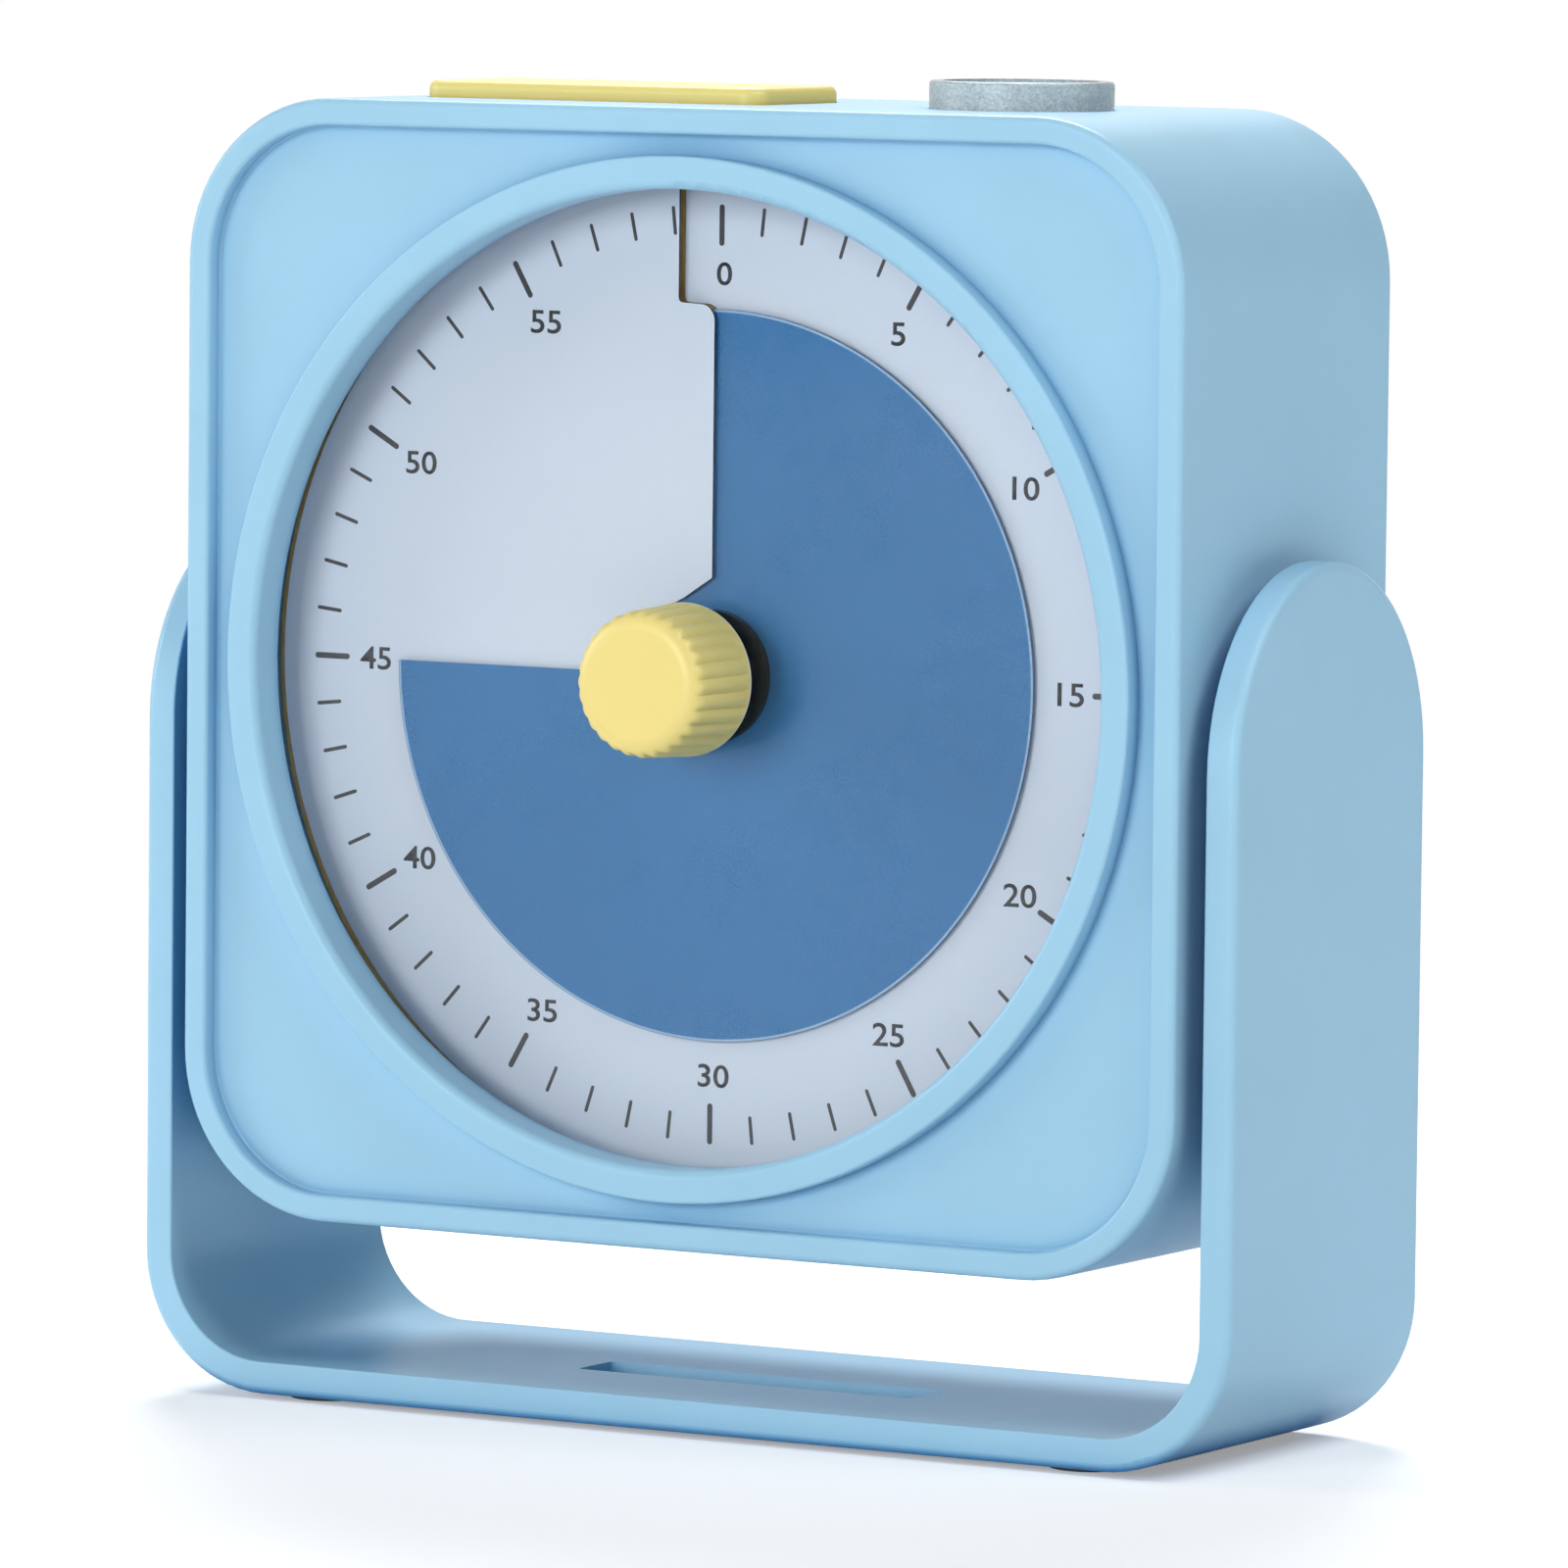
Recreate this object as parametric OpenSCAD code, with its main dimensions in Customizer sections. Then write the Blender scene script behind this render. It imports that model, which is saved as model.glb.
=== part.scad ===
// Visual countdown timer: a square case with a one-hour dial, hung between the arms of a U stand.
// Turning the knob draws a blue sheet out through the slit of the white dial.
// Part frame: X to the right, the dial faces -Y, Z up, origin under the middle at table height.

/* [Case] */
// Width of the case
case_w = 150; // [144:1:190]
// Height of the case
case_h = 148.8; // [144:0.2:190]
// Depth from the case's front plane to its back edge
case_d = 58.6; // [58:0.2:80]
// Radius of the case's four corners
case_corner_r = 22; // [20:0.5:24]
// Thickness of the case's side walls
case_wall = 2.6; // [2:0.1:3]
// Rounding of the front outer edge
case_edge_r = 1; // [0.6:0.1:2.8]
// Rounding of the back outer edge
case_back_r = 1.2; // [0.6:0.1:1.6]
// Width of the rim round the front panel
rim_w = 3.5; // [3.2:0.1:5]
// How far the rim lies behind the case's front plane
rim_setback = 0.9; // [0:0.1:1.5]
// How far the front panel lies behind the front plane
panel_recess = 3.5; // [2.5:0.1:4]
// Thickness of the front panel
panel_t = 2.4; // [2:0.1:2.6]

/* [Dial ring and lens] */
// Gap between the round chamber behind the dial and the case's walls
chamber_gap = 1; // [0.8:0.1:4]
// Thickness of the chamber's wall
chamber_wall = 2; // [1.6:0.1:2.4]
// How far the raised ring's outer edge lies inside the chamber's inner wall
ring_inset = 0.7; // [0.6:0.1:2]
// Width of the raised ring
ring_w = 4.3; // [3:0.1:6]
// How far the ring's front lies behind the front plane
ring_setback = 0.45; // [0:0.05:1.5]
// Rounding of the ring's inner front edge
ring_edge_r = 1.2; // [0.6:0.1:1.5]
// Rounding of the ring's outer front edge
ring_outer_r = 0.4; // [0.2:0.1:1.5]
// Depth of the lens seat behind the front plane
lens_seat = 6.3; // [6.1:0.1:7.6]
// Thickness of the clear lens
lens_t = 1.8; // [1.2:0.1:2.2]

/* [Dial sheets] */
// Depth of the white sheet behind the front plane, at the zero line
dial_y = 13.9; // [13.8:0.05:14.2]
// Thickness of the white sheet and of the blue sheet
sheet_t = 0.4; // [0.2:0.05:0.5]
// Height that the white sheet climbs in one turn, and the blue sheet's lead
sheet_lead = 1.7; // [1.5:0.05:1.9]
// Gap round the white sheet's edge
dial_gap = 2.4; // [1:0.1:2.6]
// Radius of the white sheet's centre hole
dial_hole_r = 11; // [10:0.1:12]
// Radius of the blue sheet
blue_r = 47.9; // [42:0.1:48]
// How far the outer part of the slit lies to the left of the zero line
slit_offset = 5.5; // [3:0.1:8]
// Minutes that the dial is set to
set_minutes = 45; // [5:1:60]

/* [Knob] */
// Radius of the knob at its back edge
knob_r = 10.05; // [9:0.05:11]
// How much slimmer the knob is at its front
knob_taper = 0.45; // [0.2:0.05:0.8]
// How far the knob stands in front of the front plane
knob_proud = 7.5; // [6:0.1:10]
// Gap between the knob and the lens
knob_gap = 1.1; // [0.6:0.1:2]
// Rounding of the knob's front edge
knob_edge_r = 2.3; // [1.5:0.1:3]
// Number of grooves round the knob
knob_grooves = 28; // [20:1:32]
// Radius of the knob's shaft
shaft_r = 3; // [2.6:0.1:3.2]
// Radius of the black hub of the blue sheet
hub_r = 8.75; // [8:0.05:9.2]

/* [Top button and lamp] */
// Length of the top button
button_l = 52; // [44:0.5:54]
// Width of the top button
button_w = 22.4; // [18:0.2:24]
// How far the button stands out of the case
button_proud = 2.2; // [2:0.1:3]
// How far the button goes down
button_travel = 1.2; // [0.8:0.1:1.4]
// Radius of the button's corners
button_corner_r = 3; // [2:0.1:5]
// How far the button's left end lies inside the corner's rounding
button_inset = 3.6; // [3:0.1:6]
// Radius of the alarm lamp's cap
lamp_r = 12.05; // [10:0.05:13]
// How far the lamp's cap stands out of the case
lamp_proud = 3.7; // [2.5:0.1:6]
// Width of the rim round the lamp's window
lamp_rim = 1.9; // [1.4:0.1:2.2]
// How far the lamp lies inside the corner's rounding
lamp_inset = 5.35; // [4:0.05:8]

/* [Stand] */
// Thickness of the stand's bent plate
plate_t = 4.4; // [3.8:0.1:5]
// Width of the stand, front to back
stand_w = 52.4; // [46:0.2:56]
// Outer radius of the stand's two bends
bend_r = 18.5; // [14:0.5:24]
// Rounding of the stand's outer edges
stand_edge_r = 1.2; // [0.6:0.1:1.6]
// Rounding of the stand's inner edges
stand_inner_r = 0.3; // [0.2:0.1:1.2]
// Gap between the case and each arm
side_gap = 3.1; // [2.6:0.1:6]
// Gap between the case and the stand's base
base_gap = 19.75; // [14:0.05:40]
// How far the pivots lie below the middle of the case
pivot_drop = 8.7; // [4:0.1:12]
// Length of the slot through the base
slot_l = 51; // [30:1:60]
// Width of the slot through the base
slot_w = 9; // [5:0.2:12]
// How far the slot lies in front of the base's middle
slot_forward = 3.1; // [0:0.1:8]
// How far the rubber feet stand out of the base
foot_proud = 0.65; // [0.5:0.05:1.5]
// Radius of the rubber feet
foot_r = 5; // [4:0.5:7]

/* [Pivots] */
// Radius of the pivot screws' shoulder
pivot_r = 4; // [3:0.1:4.5]
// Radius of the pivot screws' threaded end
pivot_thread_r = 2.5; // [2:0.1:2.8]
// Length of the pivot boss inside the case wall
pivot_boss_l = 6.4; // [5:0.1:8]

/* [Back cover and batteries] */
// Thickness of the back cover
cover_t = 2.4; // [2.2:0.1:3]
// How far the cover lies inside the case's back edge
cover_inset = 1.5; // [1:0.1:2]
// Diameter of one battery
battery_d = 14.5; // [13.7:0.1:14.5]
// Length of one battery
battery_l = 50.5; // [49.3:0.1:50.5]
// Gap between the battery well and the bottom of the case
well_gap = 8.2; // [5:0.1:9]
// Thickness of the battery door
door_t = 1.8; // [1.4:0.1:2]
// Travel of the slide switch to each side
switch_travel = 2.5; // [1.5:0.1:3]

/* [Movement] */
// Tooth size of the centre wheel
module_1 = 0.7; // [0.65:0.01:0.74]
// Tooth size of the third wheel
module_2 = 0.6; // [0.56:0.01:0.62]
// Tooth size of the second wheel
module_3 = 0.5; // [0.46:0.01:0.52]
// Thickness that each tooth gives up as play
tooth_play = 0.08; // [0.06:0.01:0.12]
// Radius of the wheels' arbors
arbor_r = 0.8; // [0.6:0.05:1]

/* [Screws] */
// Radius of the small screws
screw_r = 1.1; // [0.9:0.05:1.2]
// Radius of the small screws' heads
screw_head_r = 2.4; // [2:0.1:2.6]
// Height of the small screws' heads
screw_head_t = 1.4; // [1:0.1:1.6]
// Width of the cross slots
screw_slot = 0.5; // [0.3:0.05:0.7]
// Length of the screws that hold the back cover
case_screw_l = 10; // [8:0.5:14]
// Length of the screws that hold the dial's backing
backing_screw_l = 6; // [5:0.5:7]
// Length of the screws that hold the boards
board_screw_l = 5; // [4:0.5:6]
// Length of the screws that hold the movement and its cover
movement_screw_l = 7; // [5:0.5:8]

/* [Clearances] */
// Radial clearance of a running shaft
running = 0.05; // [0.03:0.01:0.08]
// Clearance of a piece that slides or drops into its place
sliding = 0.25; // [0.15:0.05:0.35]
// Gap between two faces that turn past each other
end_play = 0.1; // [0.05:0.05:0.2]

/* [Hidden] */
$fn = 96;

// Colours
shell_blue = [0.63, 0.80, 0.90];
disc_blue = [0.30, 0.47, 0.68];
butter_yellow = [0.94, 0.88, 0.56];
dial_white = [0.84, 0.87, 0.92];
board_brown = [0.46, 0.36, 0.20];
black_plastic = [0.05, 0.05, 0.06];
board_green = [0.10, 0.36, 0.22];
movement_white = [0.90, 0.90, 0.86];

// Places in the part frame
case_y = -(case_d - knob_proud) / 2;
pivot_y = case_y + case_d / 2;
base_top = foot_proud + plate_t;
case_z = base_top + base_gap + case_h / 2;
pivot_z = case_z - pivot_drop;
arm_in = case_w / 2 + side_gap;
arm_out = arm_in + plate_t;

// Depths behind the front rim
panel_back = panel_recess + panel_t;
lens_back = lens_seat + lens_t;
sheet_gap = sheet_lead / 2 - sheet_t;
blue_y = dial_y - sheet_lead / 2;
backing_y = dial_y + sheet_lead / 2 + sheet_t + 0.35;
backing_t = 1.6;
movement_y = backing_y + backing_t;
cover_back = case_d - cover_inset;
cover_y = cover_back - cover_t;
mid_d = case_d / 2;

// Inner faces of the case, from its middle
inner_w = case_w / 2 - case_wall;
inner_h = case_h / 2 - case_wall;

// Chamber behind the ring, and what sits in it
chamber_r = min(inner_w, inner_h) - chamber_gap - chamber_wall;
backing_r = chamber_r + chamber_wall - 0.2;
ring_r = chamber_r - ring_inset;
window_r = ring_r - ring_w;
lens_r = chamber_r - sliding - 0.15;
dial_r = chamber_r - dial_gap;
dial_post_at = dial_r - 6.4;
dial_post_r = 1.6;

// Stand's feet and pivots
foot_x = arm_out - bend_r - foot_r - 1;
foot_y = stand_w / 2 - foot_r - 3;
foot_sink = 0.8;
pivot_boss_r = 8;
pivot_washer_t = 0.8;
pivot_head_r = 7;
pivot_head_t = 2;
spring_t = 0.9;
pivot_boss_end = inner_w - pivot_boss_l;

// Knob and its shaft
knob_l = lens_seat - knob_gap + knob_proud;
shaft_front = -knob_proud + 4;

// Screw posts
ear_r = 5;
ear_at = (chamber_r + chamber_wall + ear_r - 0.3) / sqrt(2);
corner_post_r = 4;
screw_sink = 1.4;
cover_head_t = 0.4;
corner_post_x = inner_w - 10.4;
corner_post_z = inner_h - 10.5;

// Top board under the button and the lamp
button_x = -(case_w / 2 - case_corner_r - button_inset - button_l / 2);
lamp_x = case_w / 2 - case_corner_r - lamp_inset - lamp_r;
board_t = 1.6;
top_board_z = inner_h - 11.4;
tact_h = 3.5;
tact_size = 6;
plunger_r = 1.7;
flange_t = 1.2;
flange_out = 1.2;
button_floor = inner_h - end_play - flange_t;
press_z = top_board_z + board_t + tact_h + button_travel + 0.2;
window_z = case_h / 2 + lamp_proud - 1.8;
top_board_l = 2 * (corner_post_x - corner_post_r) - 1;
top_board_w = 2 * (mid_d - movement_y - 0.7);
lamp_flange = 1.5;
post_r = 2.2;
post_shift = top_board_w / 2 - post_r;
post_reach = lamp_r + lamp_flange + post_r + 0.4;
board_posts = [[-(corner_post_x - corner_post_r - 3.5), mid_d],
    [lamp_x - sqrt(pow(post_reach, 2) - pow(post_shift, 2)), mid_d + post_shift],
    [corner_post_x - corner_post_r - 4.5, mid_d]];
button_edge = 1.1;
button_shell = 2;
button_rib = 1.2;
button_stem_r = 3.4;

// Battery well and door
well_l = battery_l + 7.5;
well_h = 2 * battery_d + 3;
well_wall = 1.6;
well_drop = inner_h - well_gap - well_wall - well_h / 2;
well_y = cover_back - door_t - 0.2 - battery_d - 0.9;
battery_y = well_y + battery_d / 2 + 0.1;
door_lap = 2.2;
door_grip_l = 16;
door_grip_w = 1;
door_grip_pitch = 2.4;
contact_t = 0.4;
contact_h = 11;
contact_tip_r = 3;
wire_r = 0.35;
turn_r = 4.6;
turn_step = 0.5;
cell_pitch = battery_d + 1.2;

// Teeth, which give the train's ratios of 5, 4 and 4
centre_teeth = 60;
wheel_teeth = 48;
pinion_teeth = 12;
wheel_addendum = 0.7;
pressure = 20;

// Arbor places, from the pitch circles
rotor_at = 60;
third_z = -(module_1 * (centre_teeth + pinion_teeth)) / 2;
second_x = module_2 * (wheel_teeth + pinion_teeth) / 2;
rotor_reach = module_3 * (wheel_teeth + pinion_teeth) / 2;
rotor_x = second_x + rotor_reach * cos(rotor_at);
rotor_z = third_z + rotor_reach * sin(rotor_at);
arbors = [[0, third_z], [second_x, third_z], [rotor_x, rotor_z]];
centre_tip = module_1 * (centre_teeth / 2 + wheel_addendum);
third_tip = module_2 * (wheel_teeth / 2 + wheel_addendum);
second_tip = module_3 * (wheel_teeth / 2 + wheel_addendum);

// Movement box round the wheels, seen from the front: left, right, bottom, top
box_wall = 1.5;
box_d = 18.7;
box_l = -centre_tip - box_wall - 3;
box_r = second_x + second_tip + box_wall + 1.2;
box_b = third_z - third_tip - box_wall - 1.5;
box_t = centre_tip + box_wall + 2;
gear_floor = movement_y + 1.6;
box_back = movement_y + box_d;
box_cover = box_back - box_wall;
post_inset = 3.6;
box_posts = [for (x = [box_l + post_inset, box_r - post_inset],
    z = [box_b + post_inset, box_t - post_inset]) [x, z]];
box_post_r = 2.6;

// Depths of the train's layers
layer_1 = gear_floor + 1.9;
layer_2 = layer_1 + 3.2;
layer_3 = layer_2 + 3;
clip_y = layer_1 + 3.4;
clip_t = 0.6;
centre_wheel_t = 1.6;
clutch_y = layer_1 + centre_wheel_t + end_play;
leaf_t = 0.3;
leaf_l = 5;
leaf_w = 2;
stator_y = layer_3 + 2.7;
stator_t = 1.2;
core_z = 12;
magnet_r = 3.6;
pole_w = 12;
leg_w = 5;
core_w = 4;
stator_l = box_l + box_wall + 0.3;
stator_posts = [[box_l + 2.6, rotor_z + 1], [box_l + 2.6, core_z - 3], [box_r - 5, core_z]];
coil_y = stator_y + stator_t / 2;
coil_flange_r = 3.5;
coil_l = 28;
coil_x = 2;

// Speaker, main board and slide switch
speaker_r = 20;
speaker_x = -(inner_w - speaker_r - 16.4);
speaker_z = corner_post_z - speaker_r - 9.3;
speaker_d = 8.4;
main_board_w = 44;
main_board_h = 38;
main_board_x = inner_w - 8.4 - main_board_w / 2;
main_board_z = corner_post_z - corner_post_r - 4.3 - main_board_h / 2;
main_board_y = cover_y - 7.4;
switch_x = main_board_x;
switch_z = main_board_z - 10;
switch_l = 16;
switch_h = 8;
switch_thumb_l = 4;
switch_thumb_h = 2.6;
main_posts = [for (x = [-1, 1], z = [-1, 1])
    [main_board_x + x * (main_board_w / 2 - 3), main_board_z + z * (main_board_h / 2 - 3)]];

// ---------- Helpers ----------

// Puts children drawn in the case's own frame into the part frame
module in_case() {
    translate([0, case_y, case_z]) children();
}

// The train is drawn with its wheels below the shaft and stands upside down, clear of the batteries
module in_movement() {
    in_case() mirror([0, 0, 1]) children();
}

// Extrudes a drawing of X and Z from depth y to depth y + t
module slab(y, t) {
    translate([0, y + t, 0]) rotate([90, 0, 0]) linear_extrude(t) children();
}

// Round bar along Y from depth y, at x and z
module bar_y(x, z, y, l, r) {
    translate([x, y, z]) rotate([-90, 0, 0]) cylinder(r = r, h = l);
}

// Round bar along X from x to x + l
module bar_x(x, y, z, l, r) {
    translate([x, y, z]) rotate([0, 90, 0]) cylinder(r = r, h = l);
}

// Round bar along Z
module bar_z(x, y, z, l, r) {
    translate([x, y, z]) cylinder(r = r, h = l);
}

// Drawing of a rectangle with round corners about the origin
module round_rect(w, h, r) {
    square([w - 2 * r, h], center = true);
    square([w, h - 2 * r], center = true);
    for (x = [-1, 1], y = [-1, 1]) translate([x * (w / 2 - r), y * (h / 2 - r)]) circle(r);
}

// What a rounding of radius r takes off a corner at the origin that fills +X +Y
module corner_waste(r) {
    difference() {
        translate([-1, -1]) square(r + 1);
        translate([r, r]) circle(r);
    }
}

// Sweeps a profile round a rectangle with round corners: X is the distance outside the outline, Y becomes Z
module around_rect(w, h, r) {
    for (i = [0:3]) {
        half = i % 2 == 0 ? [w / 2, h / 2] : [h / 2, w / 2];
        rotate(90 * i) {
            translate([half[0], half[1] - r, 0]) rotate([90, 0, 0]) linear_extrude(2 * (half[1] - r))
                children();
            translate([half[0] - r, half[1] - r, 0]) rotate_extrude(angle = 90) translate([r, 0]) children();
        }
    }
}

// Ring along Y from depth y
module ring_y(x, z, y, l, r_out, r_in) {
    difference() {
        bar_y(x, z, y, l, r_out);
        bar_y(x, z, y - 1, l + 2, r_in);
    }
}

// Depth of the white sheet's front at an angle clockwise from the zero line
function dial_depth(angle) = dial_y - sheet_lead * angle / 360;

// How far the slit of the white sheet lies left of the zero line at a radius
function slit_at(r) = r <= blue_r - 2.6 ? 0 : r >= blue_r + 1.6 ? slit_offset
    : slit_offset * (0.5 - 0.5 * cos(180 * pow((r - blue_r + 2.6) / 4.2, 1.6)));

// Angle clockwise from straight up at which the slit lies
function slit_angle(r) = -asin(slit_at(r) / r);

// Helical sheet: rings of points whose depth falls with the angle; starts gives each ring's first angle
module helix_sheet(radii, starts, depth_0, turn, steps) {
    rings = len(radii);
    side = (steps + 1) * rings;
    points = [for (back = [0, sheet_t], j = [0:steps], i = [0:rings - 1])
        let (angle = starts[i] + turn * j / steps)
        [radii[i] * sin(angle), depth_0 - sheet_lead * angle / 360 + back, radii[i] * cos(angle)]];
    front = [for (j = [0:steps - 1], i = [0:rings - 2]) let (a = j * rings + i) each
        [[a, a + rings, a + 1], [a + 1, a + rings, a + rings + 1]]];
    rear = [for (f = front) [f[0] + side, f[2] + side, f[1] + side]];
    edges = concat(
        [for (j = [0:steps - 1]) [j * rings, (j + 1) * rings]],
        [for (i = [0:rings - 2]) [steps * rings + i, steps * rings + i + 1]],
        [for (j = [steps:-1:1]) [j * rings + rings - 1, (j - 1) * rings + rings - 1]],
        [for (i = [rings - 1:-1:1]) [i, i - 1]]);
    rim = [for (e = edges) each [[e[1], e[0], e[0] + side], [e[1], e[0] + side, e[1] + side]]];
    polyhedron(points = points, faces = concat(front, rear, rim));
}

// Half the angle of one tooth at radius r, in degrees
function roll_angle(base, r) = r <= base ? 0 : let (t = sqrt(pow(r / base, 2) - 1)) t * 180 / PI - atan(t);
function half_tooth(m, z, r) = (90 - tooth_play / m * 180 / PI) / z
    + roll_angle(m * z / 2 * cos(pressure), m * z / 2) - roll_angle(m * z / 2 * cos(pressure), r);

// Drawing of an involute gear with one tooth centred at an angle
module gear_outline(m, z, tip, root, at) {
    root_r = m * z / 2 - root * m;
    tip_r = m * z / 2 + tip * m;
    start_r = max(root_r + 0.02, m * z / 2 * cos(pressure));
    radii = [root_r, start_r, (start_r * 2 + tip_r) / 3, (start_r + tip_r * 2) / 3, tip_r];
    polygon([for (k = [0:z - 1]) each [
        for (r = radii) let (a = at + 360 * k / z - half_tooth(m, z, r)) r * [cos(a), sin(a)],
        for (i = [len(radii) - 1:-1:0]) let (r = radii[i], a = at + 360 * k / z + half_tooth(m, z, r))
            r * [cos(a), sin(a)]
    ]]);
}

// ---------- Stand ----------

// Cross-section of the bent plate: X from the inside to the outside at 0, Y across the stand
module plate_section() {
    difference() {
        translate([-plate_t, 0]) square([plate_t, stand_w]);
        for (side = [0, 1]) translate([0, side * stand_w]) mirror([0, side]) {
            mirror([1, 0]) corner_waste(stand_edge_r);
            translate([-plate_t, 0]) corner_waste(stand_inner_r);
        }
    }
}

module stand_bracket() {
    color(shell_blue) difference() {
        union() {
            plate_path();
            for (s = [-1, 1]) pivot_boss(s);
        }
        slot_cut();
        for (x = [-1, 1], y = [-1, 1]) bar_z(x * foot_x, pivot_y + y * foot_y, foot_proud - 1,
            1 + foot_sink, foot_r);
        for (s = [-1, 1]) bar_x(s > 0 ? case_w / 2 : -arm_out + 2, pivot_y, pivot_z,
            arm_out - 2 - case_w / 2, pivot_thread_r + 0.02);
    }
}

// The plate swept from one arm's round top, round both bends, to the other
module plate_path() {
    arm_l = pivot_z - foot_proud - bend_r;
    front = pivot_y - stand_w / 2;
    translate([0, front + stand_w, foot_proud]) {
        // Base, bends and arms: the section's Y runs along -Y here
        rotate([90, 0, 0]) base_and_bends(arm_l);
    }
    for (s = [-1, 1]) arm_top(s);
}

// Base, bends and straight arms, drawn with the stand's width along Z
module base_and_bends(arm_l) {
    inside = arm_out - bend_r;
    translate([-inside, 0, 0]) rotate([90, 0, 90]) linear_extrude(2 * inside)
        mirror([1, 0]) plate_section();
    for (s = [-1, 1]) {
        translate([s * inside, bend_r, 0]) rotate(s > 0 ? -90 : 180) rotate_extrude(angle = 90)
            translate([bend_r, 0]) plate_section();
        translate([s * arm_out, bend_r + arm_l, 0]) rotate([90, 0, 0]) linear_extrude(arm_l)
            mirror([s > 0 ? 0 : 1, 0]) plate_section();
    }
}

// Half-round top of one arm
module arm_top(s) {
    translate([s * arm_out, pivot_y, pivot_z]) rotate([90, 0, 90]) rotate_extrude(angle = 180)
        intersection() {
            mirror([0, s > 0 ? 0 : 1]) translate([-stand_w / 2, 0]) rotate(90) mirror([0, 1]) plate_section();
            translate([0, -2 * plate_t]) square([stand_w, 4 * plate_t]);
        }
}

// Round boss inside an arm that the pivot screw is driven into
module pivot_boss(s) {
    l = side_gap - pivot_washer_t - end_play;
    bar_x(s > 0 ? arm_in - l : -arm_in - 1, pivot_y, pivot_z, l + 1, pivot_boss_r);
}

// Slot with round ends through the base
module slot_cut() {
    translate([0, pivot_y - slot_forward, foot_proud - 1]) linear_extrude(plate_t + 2)
        round_rect(slot_l, slot_w, 0.8);
}

module rubber_feet() {
    color("dimgray") for (x = [-1, 1], y = [-1, 1])
        bar_z(x * foot_x, pivot_y + y * foot_y, 0, foot_proud + foot_sink, foot_r);
}

// Shoulder screws, driven from inside the case into the arms
module pivot_screws() {
    boss_face = arm_in - (side_gap - pivot_washer_t - end_play);
    shoulder_start = pivot_boss_end - spring_t - end_play;
    color("silver") for (s = [-1, 1]) mirror([s > 0 ? 0 : 1, 0, 0]) difference() {
        union() {
            bar_x(shoulder_start - pivot_head_t, pivot_y, pivot_z, pivot_head_t, pivot_head_r);
            bar_x(shoulder_start, pivot_y, pivot_z, boss_face - shoulder_start, pivot_r);
            bar_x(boss_face, pivot_y, pivot_z, arm_out - 2 - boss_face, pivot_thread_r);
        }
        translate([shoulder_start - pivot_head_t - 1, pivot_y - 0.6, pivot_z - 3]) cube([2.2, 1.2, 6]);
        translate([shoulder_start - pivot_head_t - 1, pivot_y - 3, pivot_z - 0.6]) cube([2.2, 6, 1.2]);
    }
}

// Nylon washers between the arms and the case
module pivot_washers() {
    color("ivory") for (s = [-1, 1]) mirror([s > 0 ? 0 : 1, 0, 0]) difference() {
        bar_x(case_w / 2 + end_play, pivot_y, pivot_z, pivot_washer_t, pivot_boss_r);
        bar_x(case_w / 2, pivot_y, pivot_z, side_gap, pivot_r + running);
    }
}

// Spring washers that give the tilt its friction
module pivot_springs() {
    color("silver") for (s = [-1, 1]) mirror([s > 0 ? 0 : 1, 0, 0]) difference() {
        bar_x(pivot_boss_end - spring_t - end_play, pivot_y, pivot_z, spring_t, pivot_head_r);
        bar_x(pivot_boss_end - 5, pivot_y, pivot_z, 10, pivot_r + running);
    }
}

// ---------- Case ----------

// Section of the case's wall and rim: X outside the outline, Y the depth
module case_section() {
    foot = 0.3;
    difference() {
        union() {
            translate([-case_wall, rim_setback]) square([case_wall, case_d - rim_setback]);
            translate([-rim_w - 2, rim_setback]) square([rim_w + 2, panel_back - rim_setback]);
        }
        // Front of the panel, with a small round foot against the rim
        difference() {
            translate([-rim_w - 3, -1]) square([3, panel_recess + 1]);
            translate([-rim_w - foot, panel_recess - foot]) difference() {
                square(foot + 1);
                circle(foot);
            }
        }
        translate([-rim_w, rim_setback]) corner_waste(0.6);
        translate([0, rim_setback]) mirror([1, 0]) corner_waste(case_edge_r);
        translate([0, case_d]) mirror([1, 0]) mirror([0, 1]) corner_waste(case_back_r);
    }
}

// Section of the raised ring, its lens seat and the chamber wall: X the radius, Y the depth
module ring_section() {
    difference() {
        union() {
            translate([window_r, ring_setback]) square([ring_r - window_r, lens_seat - ring_setback]);
            translate([ring_r - 1, panel_recess + 0.2])
                square([chamber_r + chamber_wall - ring_r + 1, lens_seat - panel_recess - 0.2]);
            translate([chamber_r, lens_seat - 1]) square([chamber_wall, backing_y - lens_seat + 1]);
        }
        translate([window_r, ring_setback]) corner_waste(ring_edge_r);
        translate([ring_r, ring_setback]) mirror([1, 0]) corner_waste(ring_outer_r);
    }
}

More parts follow.
